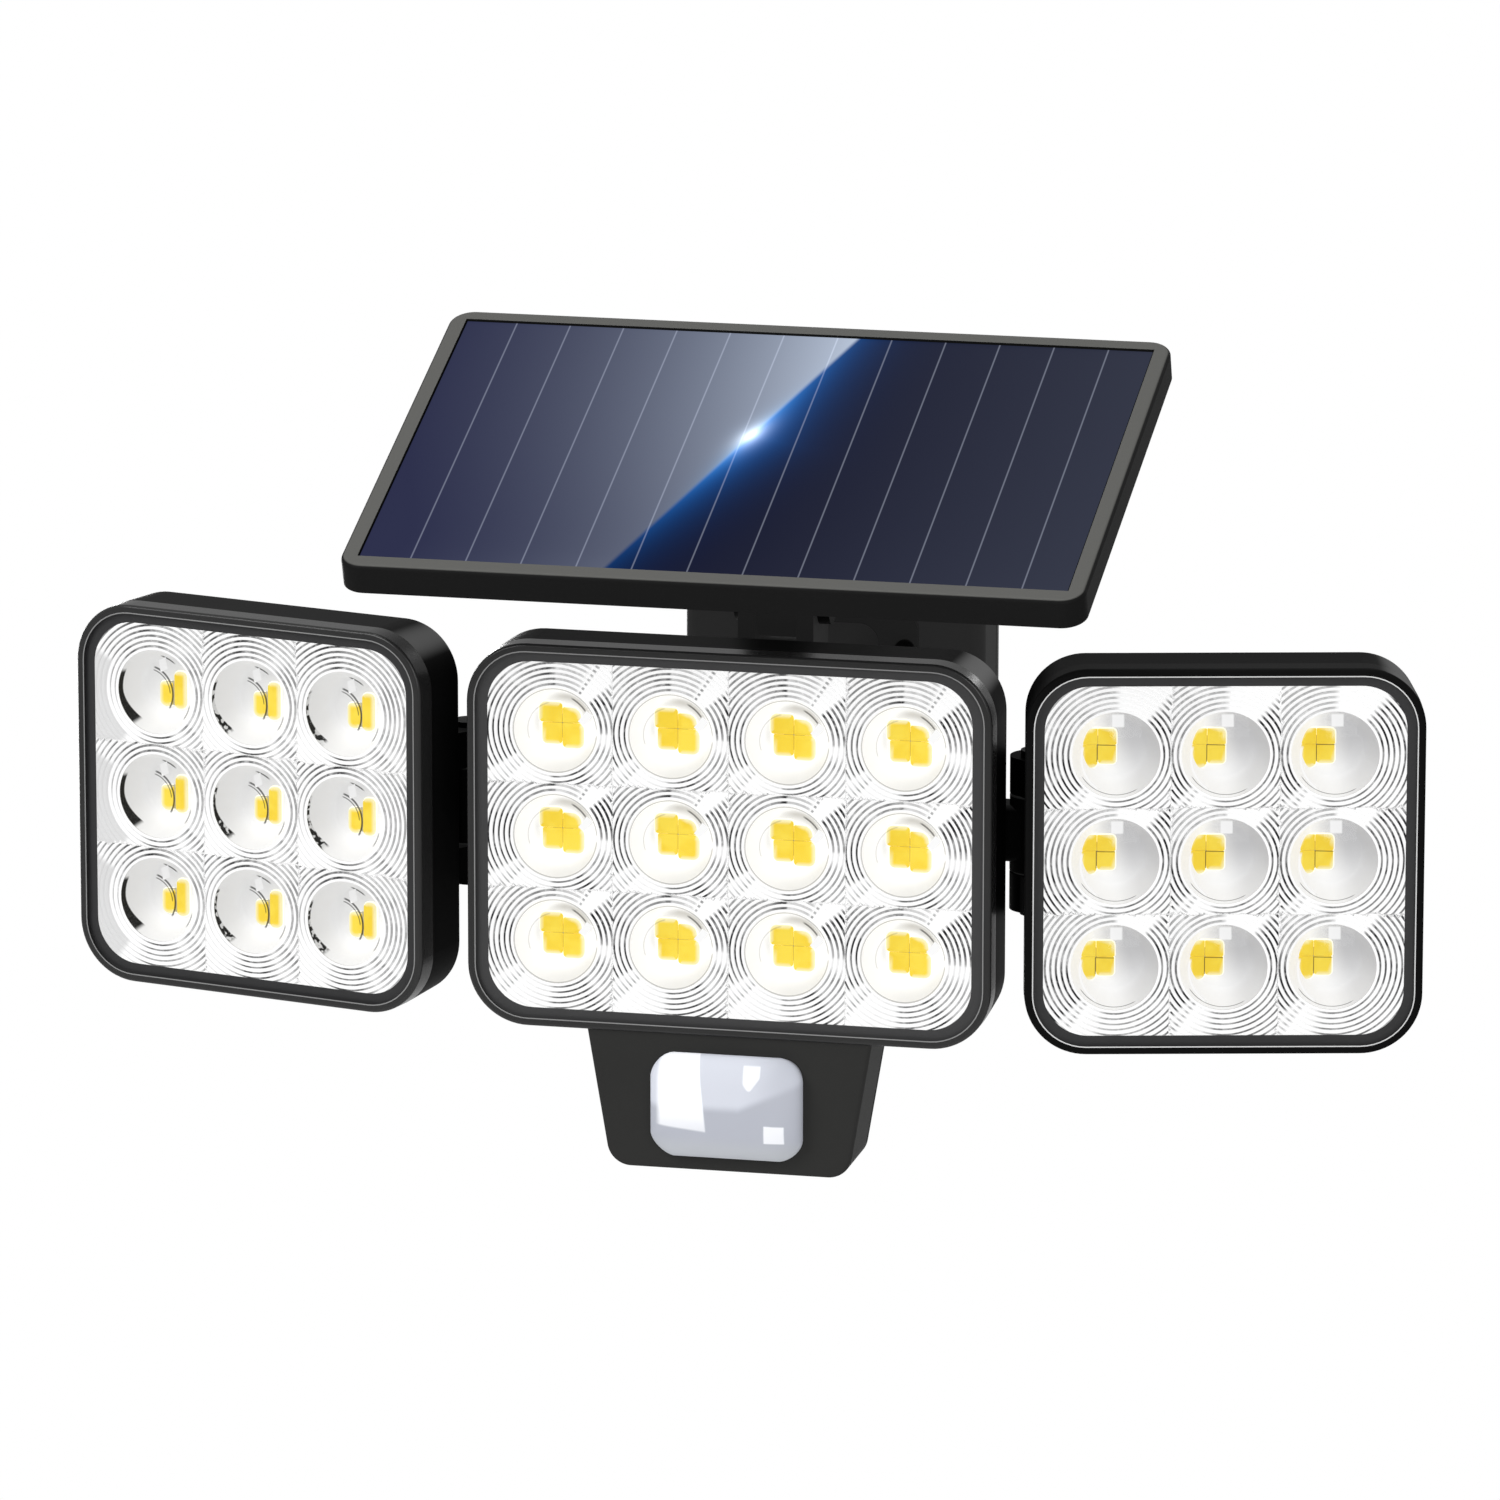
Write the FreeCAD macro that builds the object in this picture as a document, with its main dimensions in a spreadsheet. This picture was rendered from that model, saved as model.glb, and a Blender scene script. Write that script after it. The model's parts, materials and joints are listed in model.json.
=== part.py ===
import FreeCAD, Part
import math
import os
import Sketcher

# Motion sensor security light with three lamp heads, a sensor and a solar panel.
# The wall is the plane y = 0. The light reaches out towards -Y, and +Z is up.
# Lamp heads are drawn about the middle of their front face, with y going back.
# The solar panel is drawn about its hinge, with z square to the glass.

SIZES = (
    ("reach", 138.0, "lamp fronts ahead of the wall"),
    ("fit", 0.15, "gap all round where one piece drops into another"),
    ("running_fit", 0.05, "radial gap of a pin in its bore"),
    ("turning_gap", 0.3, "gap between faces that turn past each other"),
    ("head_high", 95.4, "lamp head, bottom to top"),
    ("center_wide", 130.0, "middle lamp head, side to side"),
    ("side_wide", 96.0, "outer lamp head, side to side"),
    ("head_deep", 22.3, "lamp head, front to back"),
    ("head_corner", 15.0, "lamp head corner radius"),
    ("head_edge", 2.0, "rounding round the back of a lamp head"),
    ("shell_wall", 2.0, "lamp shell wall"),
    ("shell_back", 2.0, "lamp shell back wall"),
    ("shell_draft", 0.7, "how far each shell side leans in towards the back"),
    ("bezel_deep", 6.0, "front ring, front to back"),
    ("bezel_round", 0.8, "rounding of the front ring's outer edge"),
    ("lip", 1.8, "width of the front ring's lip"),
    ("border_side", 4.5, "head edge to window, outer heads and all tops"),
    ("border_center", 5.0, "head edge to window at the sides of the middle head"),
    ("window_corner", 11.0, "window corner radius"),
    ("tongue_long", 1.2, "shell tongue inside the front ring"),
    ("tongue_wall", 0.8, "shell tongue wall"),
    ("flange_thick", 1.5, "inner flange of the front ring"),
    ("plate_drop", 1.2, "clear plate below the lip"),
    ("plate_thick", 1.5, "clear plate"),
    ("gasket_thick", 0.4, "seal behind the clear plate"),
    ("gasket_inset", 0.6, "seal edge back from the window"),
    ("dome_radius", 10.6, "round lens dome, radius"),
    ("dome_rise", 1.8, "round lens dome, height"),
    ("pitch_center", 28.76, "lens spacing along X, middle head"),
    ("pitch_side", 26.3, "lens spacing along Z, and along X on outer heads"),
    ("lens_count_center", 4, "lens columns, middle head"),
    ("lens_count_side", 3, "lens columns, outer heads"),
    ("lens_count_up", 3, "lens rows"),
    ("reflector_skin", 1.2, "reflector plate"),
    ("cup_wall", 0.8, "reflector cup wall"),
    ("bowl_radius", 10.4, "reflector bowl at the front"),
    ("bowl_base", 6.6, "reflector bowl at the board"),
    ("bowl_deep", 7.0, "reflector bowl depth"),
    ("boss_radius", 3.0, "screw boss"),
    ("boss_inset", 5.6, "screw boss centre in from the window edge"),
    ("board_thick", 1.6, "lamp board"),
    ("board_gap", 1.0, "lamp board edge to shell wall"),
    ("led_base", 8.8, "light source, side"),
    ("led_base_thick", 0.4, "light source base"),
    ("chip_side", 3.7, "one of four light chips, side"),
    ("chip_gap", 0.5, "gap between light chips"),
    ("chip_thick", 0.4, "light chip"),
    ("screw_radius", 1.25, "small screw shank"),
    ("screw_head", 2.5, "small screw head radius"),
    ("screw_head_thick", 1.2, "small screw head"),
    ("screw_grip", 4.0, "screw length inside a boss"),
    ("sink_gap", 0.2, "screw head below the surface"),
    ("swivel_left", 72.6, "left swivel axis out from the middle"),
    ("swivel_right", 69.4, "right swivel axis out from the middle"),
    ("swivel_back", 32.0, "swivel axis behind the lamp front"),
    ("swivel_inset", 44.2, "swivel axis from the middle of an outer head"),
    ("swivel_angle", 13.8, "outer heads at rest, turned outwards, degrees"),
    ("knuckle_radius", 6.3, "swivel knuckle and ears"),
    ("knuckle_high", 18.6, "swivel knuckle"),
    ("ear_high", 9.2, "each swivel ear"),
    ("ear_foot", 38.6, "where the ears leave the shell, inner edge to middle"),
    ("washer_thick", 0.5, "swivel washer"),
    ("washer_gap", 0.05, "each side of a swivel washer"),
    ("washer_radius", 5.6, "swivel washer"),
    ("pin_radius", 2.45, "swivel pin"),
    ("pin_head", 3.7, "swivel pin head radius"),
    ("pin_head_thick", 1.4, "swivel pin head"),
    ("arm_high", 14.0, "side arm bar"),
    ("arm_deep", 12.0, "side arm bar"),
    ("arm_corner", 3.0, "side arm bar edges"),
    ("arm_flange", 7.5, "side arm collar radius"),
    ("arm_flange_thick", 2.7, "side arm collar"),
    ("arm_shaft", 6.0, "side arm shaft radius"),
    ("retainer_radius", 7.0, "washer that keeps a side arm in"),
    ("retainer_thick", 1.0, "washer that keeps a side arm in"),
    ("arm_screw", 1.9, "side arm screw shank radius"),
    ("arm_screw_long", 13.0, "side arm screw shank"),
    ("arm_screw_head", 3.5, "side arm screw head radius"),
    ("arm_screw_head_thick", 2.0, "side arm screw head"),
    ("box_wide", 77.0, "wall box"),
    ("box_high", 102.0, "wall box"),
    ("box_deep", 19.0, "wall box with its plate"),
    ("box_corner", 8.0, "wall box corner radius"),
    ("box_edge", 3.0, "rounding round the front of the wall box"),
    ("box_wall", 2.0, "wall box walls"),
    ("seal_thick", 0.8, "seal between wall box and plate"),
    ("seal_inset", 0.4, "seal edge in from the box edge"),
    ("wall_plate_thick", 2.5, "wall plate"),
    ("tab_wide", 18.0, "screw tab"),
    ("tab_spacing", 118.0, "wall screw holes, bottom to top"),
    ("wall_hole", 2.5, "wall screw hole radius"),
    ("box_boss", 3.4, "wall box screw boss radius"),
    ("box_boss_inset", 7.5, "wall box screw boss centre in from each side"),
    ("battery_radius", 7.0, "battery cell"),
    ("battery_end_gap", 12.0, "battery cell end to the inside of the box"),
    ("battery_spacing", 14.5, "battery cells, centre to centre"),
    ("holder_gap", 0.8, "battery holder to the box floor"),
    ("holder_wall", 1.0, "battery holder wall"),
    ("holder_deep", 9.0, "battery holder, front to back"),
    ("main_board_gap", 3.5, "main board to the inside of the box sides"),
    ("main_board_high", 50.0, "main board"),
    ("main_board_top_gap", 12.0, "main board to the inside of the box top"),
    ("main_board_thick", 1.6, "main board"),
    ("standoff_high", 6.5, "main board standoffs"),
    ("standoff_radius", 2.6, "main board standoffs"),
    ("standoff_inset", 4.0, "standoff centres in from the board edge"),
    ("button_radius", 4.5, "mode button"),
    ("button_proud", 1.6, "mode button out of the box side"),
    ("button_flange", 5.6, "mode button collar radius"),
    ("button_flange_thick", 1.0, "mode button collar"),
    ("button_travel", 1.2, "mode button stroke"),
    ("button_drop", 1.0, "mode button below the middle of the box"),
    ("button_back", 9.5, "mode button ahead of the wall"),
    ("button_gap", 0.1, "radial gap round the mode button"),
    ("switch_side", 5.0, "push switch body, across"),
    ("neck_wide", 24.0, "neck"),
    ("neck_top", 30.0, "neck top above the middle of the lamps"),
    ("neck_drop", 22.0, "neck bottom below the middle of the lamps"),
    ("neck_corner", 5.0, "neck edges"),
    ("neck_wall", 2.4, "neck walls"),
    ("neck_cover_thick", 2.0, "cover under the neck"),
    ("flange_deep", 2.2, "neck end flanges"),
    ("flange_over", 3.0, "neck end flanges above and below the neck"),
    ("flange_wide_front", 34.0, "neck flange at the lamp"),
    ("flange_wide_back", 44.0, "neck flange at the wall box"),
    ("flange_corner", 4.0, "neck flange corner radius"),
    ("neck_screw_inset", 3.2, "neck screws in from the flange side"),
    ("neck_screw_rise", 20.0, "neck screws above and below the neck's middle"),
    ("wire_hole", 4.0, "wire passage radius"),
    ("wire_up", 13.0, "wire passage above the middle of the lamps"),
    ("arm_boss", 9.4, "arm socket on the neck, radius"),
    ("arm_boss_out", 18.0, "arm socket face out from the middle"),
    ("hinge_up", 47.0, "panel hinge above the middle of the lamps"),
    ("hinge_out", 77.0, "panel hinge ahead of the wall"),
    ("hinge_radius", 8.5, "panel hinge ears"),
    ("hinge_wide", 19.0, "panel hinge over both ears"),
    ("hinge_slot", 10.4, "panel hinge slot"),
    ("tongue_side_gap", 0.15, "panel hinge tongue to each ear"),
    ("tongue_radius", 8.2, "panel hinge tongue"),
    ("hinge_bolt", 2.5, "panel hinge bolt radius"),
    ("bolt_head", 4.6, "panel hinge bolt head radius"),
    ("bolt_head_thick", 2.0, "panel hinge bolt head"),
    ("nut_thick", 3.0, "panel hinge nut"),
    ("panel_angle", 19.2, "slope of the solar panel at rest, degrees"),
    ("panel_lift", 49.5, "panel face above its hinge"),
    ("panel_shift", 10.5, "panel middle ahead of its hinge"),
    ("panel_wide", 182.4, "solar panel"),
    ("panel_long", 122.9, "solar panel"),
    ("panel_thick", 7.5, "solar panel"),
    ("panel_corner", 6.0, "solar panel corner radius"),
    ("panel_edge", 1.2, "rounding of the solar panel's top edge"),
    ("rim_side", 4.2, "panel rim at the sides"),
    ("rim_front", 4.9, "panel rim at the front"),
    ("rim_back", 4.4, "panel rim at the back"),
    ("rim_wall", 2.4, "panel rim outside the back cover"),
    ("ledge", 3.0, "ledge that carries the glass"),
    ("glass_drop", 0.5, "glass below the rim"),
    ("glass_gap", 0.35, "glass edge to rim"),
    ("glass_thick", 1.5, "panel glass"),
    ("cell_thick", 0.3, "solar cells"),
    ("cell_count", 13, "solar cell strips"),
    ("cell_gap", 0.35, "gap between solar cell strips"),
    ("cell_margin", 1.0, "solar cells in from the glass edge"),
    ("backing_thick", 0.7, "sheet behind the solar cells"),
    ("cover_thick", 2.0, "cover under the panel"),
    ("rib_thick", 1.6, "ribs on the cover"),
    ("rib_spacing", 56.0, "ribs on the cover"),
    ("stem_wide", 16.0, "stem column"),
    ("stem_deep", 12.0, "stem column"),
    ("stem_corner", 3.0, "stem column edges"),
    ("stem_neck", 10.5, "stem column starts above the hinge"),
    ("stem_plate_wide", 46.0, "plate on top of the stem"),
    ("stem_plate_long", 34.0, "plate on top of the stem"),
    ("stem_plate_thick", 3.5, "plate on top of the stem"),
    ("stem_screw_inset", 5.0, "stem screws in from the plate edge"),
    ("sensor_top_wide", 70.9, "sensor housing where it meets the lamp"),
    ("sensor_bottom_wide", 59.3, "sensor housing at the bottom"),
    ("sensor_high", 34.2, "sensor housing below the lamp"),
    ("sensor_back_step", 1.0, "sensor housing front behind the lamp front"),
    ("sensor_deep", 17.5, "sensor housing"),
    ("sensor_corner", 6.0, "sensor housing bottom corners"),
    ("sensor_edge", 1.2, "sensor housing front edges"),
    ("sensor_wall", 2.0, "sensor housing walls"),
    ("sensor_cover_thick", 2.0, "sensor housing back cover"),
    ("sensor_post", 2.5, "posts that carry the sensor board"),
    ("sensor_post_out", 13.0, "sensor board posts out from the middle"),
    ("sensor_boss", 2.6, "sensor cover screw boss radius"),
    ("sensor_boss_out", 26.0, "sensor cover screws out from the middle"),
    ("sensor_boss_up", 10.0, "sensor cover screws above the lens middle"),
    ("lens_wide", 36.6, "sensor lens"),
    ("lens_high", 24.6, "sensor lens"),
    ("lens_corner", 5.0, "sensor lens corner radius"),
    ("lens_bulge", 4.6, "how far the sensor lens stands out"),
    ("lens_middle", 64.9, "sensor lens middle below the middle of the lamp"),
    ("lens_flange", 1.8, "sensor lens flange behind the housing front"),
    ("lens_flange_thick", 1.0, "sensor lens flange"),
    ("sensor_board_wide", 36.0, "sensor board"),
    ("sensor_board_high", 20.0, "sensor board"),
    ("sensor_board_thick", 1.2, "sensor board"),
    ("sensor_board_back", 13.0, "sensor board behind the lamp front"),
    ("detector_radius", 4.6, "heat detector can"),
    ("detector_long", 4.2, "heat detector can"),
    ("photocell_radius", 2.5, "photocell"),
    ("photocell_long", 2.4, "photocell"),
    ("photocell_out", 11.0, "photocell beside the detector"),
)

doc = FreeCAD.newDocument("security_light")
sheet = doc.addObject("Spreadsheet::Sheet", "Sizes")


class Size:
    """A length with its number now and its formula in the sheet."""

    def __init__(self, text, number):
        self.text = text
        self.number = number

    def __add__(self, other):
        other = as_size(other)
        return Size("(%s + %s)" % (self.text, other.text), self.number + other.number)

    def __sub__(self, other):
        other = as_size(other)
        return Size("(%s - %s)" % (self.text, other.text), self.number - other.number)

    def __mul__(self, other):
        other = as_size(other)
        return Size("(%s * %s)" % (self.text, other.text), self.number * other.number)

    def __truediv__(self, other):
        other = as_size(other)
        return Size("(%s / %s)" % (self.text, other.text), self.number / other.number)

    def __neg__(self):
        return Size("(-1 * %s)" % self.text, -self.number)


def as_size(value):
    if isinstance(value, Size):
        return value
    return Size(str(float(value)), float(value))


def cosine(angle):
    return Size("cos(%s * 1 deg)" % angle.text, math.cos(math.radians(angle.number)))


def sine(angle):
    return Size("sin(%s * 1 deg)" % angle.text, math.sin(math.radians(angle.number)))


def leaning_in(rise, run):
    """Angle of a side that leans in by rise over run."""
    return Size("-atan(%s / %s)" % (rise.text, run.text),
                -math.degrees(math.atan(rise.number / run.number)))


class Names:
    """Holds every size in the sheet under its own name."""


size = Names()
for row, (alias, value, note) in enumerate(SIZES, start=1):
    sheet.set("A%d" % row, alias)
    sheet.set("B%d" % row, str(value))
    sheet.set("C%d" % row, note)
    sheet.setAlias("B%d" % row, alias)
    setattr(size, alias, Size("Sizes." + alias, float(value)))
doc.recompute()

ZERO = as_size(0)
HALF = as_size(0.5)
FULL_TURN = 360.0
parts = []
cuts = []


# Binding and placing

def bind(item, prop, value):
    item.setExpression(prop, as_size(value).text)


class Frame:
    """A place for sub-parts: a point and a turn about one axis."""

    def __init__(self, place, axis=FreeCAD.Vector(0, 0, 1), angle=ZERO):
        self.place = place
        self.axis = axis
        self.angle = angle


def set_frame(item, frame):
    """Puts an object at a frame, tied to the sheet."""
    numbers = [value.number for value in frame.place]
    turn = FreeCAD.Rotation(frame.axis, frame.angle.number)
    item.Placement = FreeCAD.Placement(FreeCAD.Vector(*numbers), turn)
    for letter, value in zip("xyz", frame.place):
        bind(item, "Placement.Base." + letter, value)
    if frame.angle.number:
        bind(item, "Placement.Rotation.Angle", frame.angle)


def finish(item, label, frame):
    """Names a sub-part, places it and lists it for export."""
    item.Label = label
    set_frame(item, frame)
    parts.append(item)
    return item


def new_body(label, frame):
    body = doc.addObject("PartDesign::Body", label)
    return finish(body, label, frame)


# Sketches

def sketch_on(body, role, along=ZERO, up=ZERO, out=ZERO):
    """Sketch on an origin plane of its body, with its own origin moved."""
    plane = next(item for item in body.Origin.OriginFeatures if item.Role == role)
    sketch = body.newObject("Sketcher::SketchObject", body.Name + "_sketch")
    sketch.AttachmentSupport = [(plane, "")]
    sketch.MapMode = "FlatFace"
    for letter, value in zip("xyz", (along, up, out)):
        bind(sketch, "AttachmentOffset.Base." + letter, value)
    return sketch


def facing(body, depth, x=ZERO, z=ZERO):
    """Sketch seen from the front, at a depth behind the front face."""
    return sketch_on(body, "XZ_Plane", x, z, -as_size(depth))


def seen_from_side(body, y=ZERO, z=ZERO, x=ZERO):
    return sketch_on(body, "YZ_Plane", as_size(y), as_size(z), as_size(x))


def seen_from_top(body, z, x=ZERO, y=ZERO):
    return sketch_on(body, "XY_Plane", as_size(x), as_size(y), as_size(z))


def datum(sketch, kind, targets, value, name):
    """Adds a dimension that follows the sheet."""
    value = as_size(value)
    index = sketch.addConstraint(Sketcher.Constraint(kind, *targets, value.number))
    sketch.renameConstraint(index, name)
    bind(sketch, "Constraints." + name, value)


def rounded(sketch, wide, high, corner):
    """Rounded rectangle about the sketch's origin."""
    right = wide.number / 2
    top = high.number / 2
    bend = corner.number
    centres = ((right - bend, bend - top), (right - bend, top - bend),
               (bend - right, top - bend), (bend - right, bend - top))
    first = sketch.GeometryCount
    for quarter, (x, y) in enumerate(centres):
        start = math.radians(quarter * 90 - 90)
        circle = Part.Circle(FreeCAD.Vector(x, y, 0), FreeCAD.Vector(0, 0, 1), bend)
        sketch.addGeometry(Part.ArcOfCircle(circle, start, start + math.pi / 2))
    for quarter in range(4):
        here = sketch.Geometry[first + quarter].EndPoint
        there = sketch.Geometry[first + (quarter + 1) % 4].StartPoint
        sketch.addGeometry(Part.LineSegment(here, there))
    for quarter in range(4):
        line = first + 4 + quarter
        sketch.addConstraint(Sketcher.Constraint("Tangent", first + quarter, 2, line, 1))
        following = first + (quarter + 1) % 4
        sketch.addConstraint(Sketcher.Constraint("Tangent", line, 2, following, 1))
        way = "Vertical" if quarter % 2 == 0 else "Horizontal"
        sketch.addConstraint(Sketcher.Constraint(way, line))
        if quarter:
            sketch.addConstraint(Sketcher.Constraint("Equal", first, first + quarter))
    sketch.addConstraint(Sketcher.Constraint("Symmetric", first, 3, first + 2, 3, -1, 1))
    tag = "_%d" % first
    datum(sketch, "Radius", (first,), corner, "corner" + tag)
    datum(sketch, "DistanceX", (first + 6, 1, first + 4, 1), wide, "wide" + tag)
    datum(sketch, "DistanceY", (first + 7, 1, first + 5, 1), high, "high" + tag)


def rectangle(sketch, wide, high):
    """Plain rectangle about the sketch's origin."""
    right = wide.number / 2
    top = high.number / 2
    corners = ((-right, -top), (right, -top), (right, top), (-right, top))
    first = sketch.GeometryCount
    for index, (x, y) in enumerate(corners):
        there = corners[(index + 1) % 4]
        start = FreeCAD.Vector(x, y, 0)
        sketch.addGeometry(Part.LineSegment(start, FreeCAD.Vector(there[0], there[1], 0)))
    for index in range(4):
        line = first + index
        following = first + (index + 1) % 4
        sketch.addConstraint(Sketcher.Constraint("Coincident", line, 2, following, 1))
        way = "Horizontal" if index % 2 == 0 else "Vertical"
        sketch.addConstraint(Sketcher.Constraint(way, line))
    sketch.addConstraint(Sketcher.Constraint("Symmetric", first, 1, first + 2, 1, -1, 1))
    tag = "_%d" % first
    datum(sketch, "DistanceX", (first, 1, first, 2), wide, "wide" + tag)
    datum(sketch, "DistanceY", (first + 1, 1, first + 1, 2), high, "high" + tag)


def pin_point(sketch, shape, point, place):
    """Ties a point of a shape to its place from the sketch's origin."""
    kinds = (("DistanceX", -2), ("DistanceY", -1))
    for (kind, axis), value in zip(kinds, place):
        value = as_size(value)
        name = "%s_%d_%d" % (kind, shape, point)
        if value.number > 0:
            datum(sketch, kind, (-1, 1, shape, point), value, name)
        elif value.number < 0:
            datum(sketch, kind, (shape, point, -1, 1), -value, name)
        else:
            sketch.addConstraint(Sketcher.Constraint("PointOnObject", shape, point, axis))


def circles(sketch, centres, radius):
    """Equal circles at places from the sketch's origin."""
    first = sketch.GeometryCount
    for index, (x, y) in enumerate(centres):
        middle = FreeCAD.Vector(as_size(x).number, as_size(y).number, 0)
        circle = Part.Circle(middle, FreeCAD.Vector(0, 0, 1), radius.number)
        shape = sketch.addGeometry(circle)
        pin_point(sketch, shape, 3, (x, y))
        if index:
            sketch.addConstraint(Sketcher.Constraint("Equal", first, shape))
    datum(sketch, "Radius", (first,), radius, "radius_%d" % first)


def polygon(sketch, corners):
    """Straight-sided outline through places from the sketch's origin."""
    points = [[as_size(value) for value in corner] for corner in corners]
    first = sketch.GeometryCount
    count = len(points)
    for index in range(count):
        here = FreeCAD.Vector(points[index][0].number, points[index][1].number, 0)
        after = points[(index + 1) % count]
        sketch.addGeometry(Part.LineSegment(here, FreeCAD.Vector(after[0].number, after[1].number, 0)))
    for index in range(count):
        following = first + (index + 1) % count
        sketch.addConstraint(Sketcher.Constraint("Coincident", first + index, 2, following, 1))
    for index in range(count):
        pin_point(sketch, first + index, 1, points[index])


def dome_outline(sketch, radius, rise, root):
    """Half of a low dome beside its axis, which is the sketch's X axis."""
    ball = (rise.number ** 2 + radius.number ** 2) / (2 * rise.number)
    middle = FreeCAD.Vector(ball - rise.number, 0, 0)
    edge = FreeCAD.Vector(0, radius.number, 0)
    circle = Part.Circle(middle, FreeCAD.Vector(0, 0, 1), ball)
    start = math.pi - math.asin(radius.number / ball)
    sketch.addGeometry(Part.ArcOfCircle(circle, start, math.pi))
    outer = FreeCAD.Vector(root.number, radius.number, 0)
    inner = FreeCAD.Vector(root.number, 0, 0)
    sketch.addGeometry(Part.LineSegment(FreeCAD.Vector(-rise.number, 0, 0), inner))
    sketch.addGeometry(Part.LineSegment(inner, outer))
    sketch.addGeometry(Part.LineSegment(outer, edge))
    for here, there in ((0, 1), (1, 2), (2, 3)):
        sketch.addConstraint(Sketcher.Constraint("Coincident", here, 2, there, 1))
    sketch.addConstraint(Sketcher.Constraint("Coincident", 3, 2, 0, 1))
    sketch.addConstraint(Sketcher.Constraint("PointOnObject", 0, 3, -1))
    sketch.addConstraint(Sketcher.Constraint("Horizontal", 3))
    sketch.addConstraint(Sketcher.Constraint("Vertical", 2))
    pin_point(sketch, 0, 2, (-rise, ZERO))
    pin_point(sketch, 0, 1, (ZERO, radius))
    datum(sketch, "DistanceX", (-1, 1, 1, 2), root, "root")
    sketch.addConstraint(Sketcher.Constraint("PointOnObject", 1, 2, -1))


# Features

def extrude(kind, body, sketch, length, backwards, both):
    feature = body.newObject("PartDesign::" + kind, body.Name + "_" + kind.lower())
    feature.Profile = sketch
    bind(feature, "Length", length)
    if both:
        feature.SideType = "Symmetric"
    feature.Reversed = backwards
    sketch.Visibility = False
    return feature


def pad(body, sketch, length, backwards=False, both=False):
    return extrude("Pad", body, sketch, length, backwards, both)


def pocket(body, sketch, length, backwards=False, both=False):
    feature = extrude("Pocket", body, sketch, length, backwards, both)
    cuts.append(feature)
    return feature


def spin(kind, body, sketch):
    """Revolution or Groove about the sketch's X axis."""
    feature = body.newObject("PartDesign::" + kind, body.Name + "_" + kind.lower())
    feature.Profile = sketch
    feature.ReferenceAxis = (sketch, ["H_Axis"])
    feature.Angle = FULL_TURN
    if kind == "Groove":
        cuts.append(feature)
    return feature


def grid(body, originals, head):
    """Repeats features over the lens columns and rows of a head."""
    pattern = body.newObject("PartDesign::LinearPattern", body.Name + "_pattern")
    axes = {item.Role: item for item in body.Origin.OriginFeatures}
    pattern.Originals = originals
    pattern.Direction = (axes["X_Axis"], [""])
    bind(pattern, "Length", head.pitch * (head.columns - 1))
    bind(pattern, "Occurrences", head.columns)
    pattern.Direction2 = (axes["Z_Axis"], [""])
    bind(pattern, "Length2", size.pitch_side * (size.lens_count_up - 1))
    bind(pattern, "Occurrences2", size.lens_count_up)
    body.Tip = pattern
    return pattern


def round_edges(body, feature, wanted, radius):
    """Fillets the edges of a feature that a test picks."""
    doc.recompute()
    names = ["Edge%d" % number for number, edge in enumerate(feature.Shape.Edges, start=1)
             if wanted(edge)]
    fillet = body.newObject("PartDesign::Fillet", body.Name + "_fillet")
    fillet.Base = (feature, names)
    bind(fillet, "Radius", radius)
    return fillet


def flat_at(axis, value):
    """Test for edges that lie in a plane square to an axis."""
    def wanted(edge):
        box = edge.BoundBox
        low = getattr(box, axis.upper() + "Min")
        high = getattr(box, axis.upper() + "Max")
        near = 0.01
        return abs(low - value.number) < near and abs(high - value.number) < near
    return wanted


# Part primitives

def cylinder(radius, length, start, way):
    """Round bar from a start point, along x, y or z, or back along -x, -y or -z."""
    item = doc.addObject("Part::Cylinder", "round_bar")
    turns = {"x": (FreeCAD.Vector(0, 1, 0), 90), "y": (FreeCAD.Vector(1, 0, 0), -90),
             "z": (FreeCAD.Vector(0, 0, 1), 0), "-x": (FreeCAD.Vector(0, 1, 0), -90),
             "-y": (FreeCAD.Vector(1, 0, 0), 90), "-z": (FreeCAD.Vector(1, 0, 0), 180)}
    bind(item, "Radius", radius)
    bind(item, "Height", length)
    item.Placement = FreeCAD.Placement(FreeCAD.Vector(), FreeCAD.Rotation(*turns[way]))
    for letter, value in zip("xyz", start):
        bind(item, "Placement.Base." + letter, value)
    return item


def block(low, lengths):
    """Box from its low corner."""
    item = doc.addObject("Part::Box", "block")
    for prop, value in zip(("Length", "Width", "Height"), lengths):
        bind(item, prop, value)
    for letter, value in zip("xyz", low):
        bind(item, "Placement.Base." + letter, value)
    return item


def fused(items):
    result = doc.addObject("Part::MultiFuse", "fused")
    result.Shapes = items
    return result


def group(label, frame, items):
    """Several loose solids under one name."""
    result = doc.addObject("Part::Compound", label)
    result.Links = items
    return finish(result, label, frame)


def screw(start, way, shank, shank_long, head_radius, head_thick):
    """Screw whose head sits behind its start point and whose shank runs along its way."""
    letter = way[-1]
    sign = -1 if way.startswith("-") else 1
    behind = list(start)
    place = "xyz".index(letter)
    behind[place] = as_size(start[place]) - head_thick * sign
    head = cylinder(head_radius, head_thick, behind, way)
    return fused([head, cylinder(shank, shank_long, start, way)])


# Lamp heads

class Head:
    """The sizes that tell one lamp head from another."""

    def __init__(self, name, wide, border, columns, pitch, frame):
        self.name = name
        self.wide = wide
        self.window_wide = wide - border * 2
        self.window_high = size.head_high - size.border_side * 2
        self.columns = columns
        self.pitch = pitch
        self.frame = frame
        self.first_x = -(pitch * (columns - 1) * HALF)
        self.first_z = -(size.pitch_side * (size.lens_count_up - 1) * HALF)
        self.boss_x = self.window_wide * HALF - size.boss_inset
        self.boss_z = self.window_high * HALF - size.boss_inset

    def label(self, part):
        return self.name + "_" + part

    def bosses(self):
        return [(self.boss_x * x, self.boss_z * z) for x in (-1, 1) for z in (-1, 1)]


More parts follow.
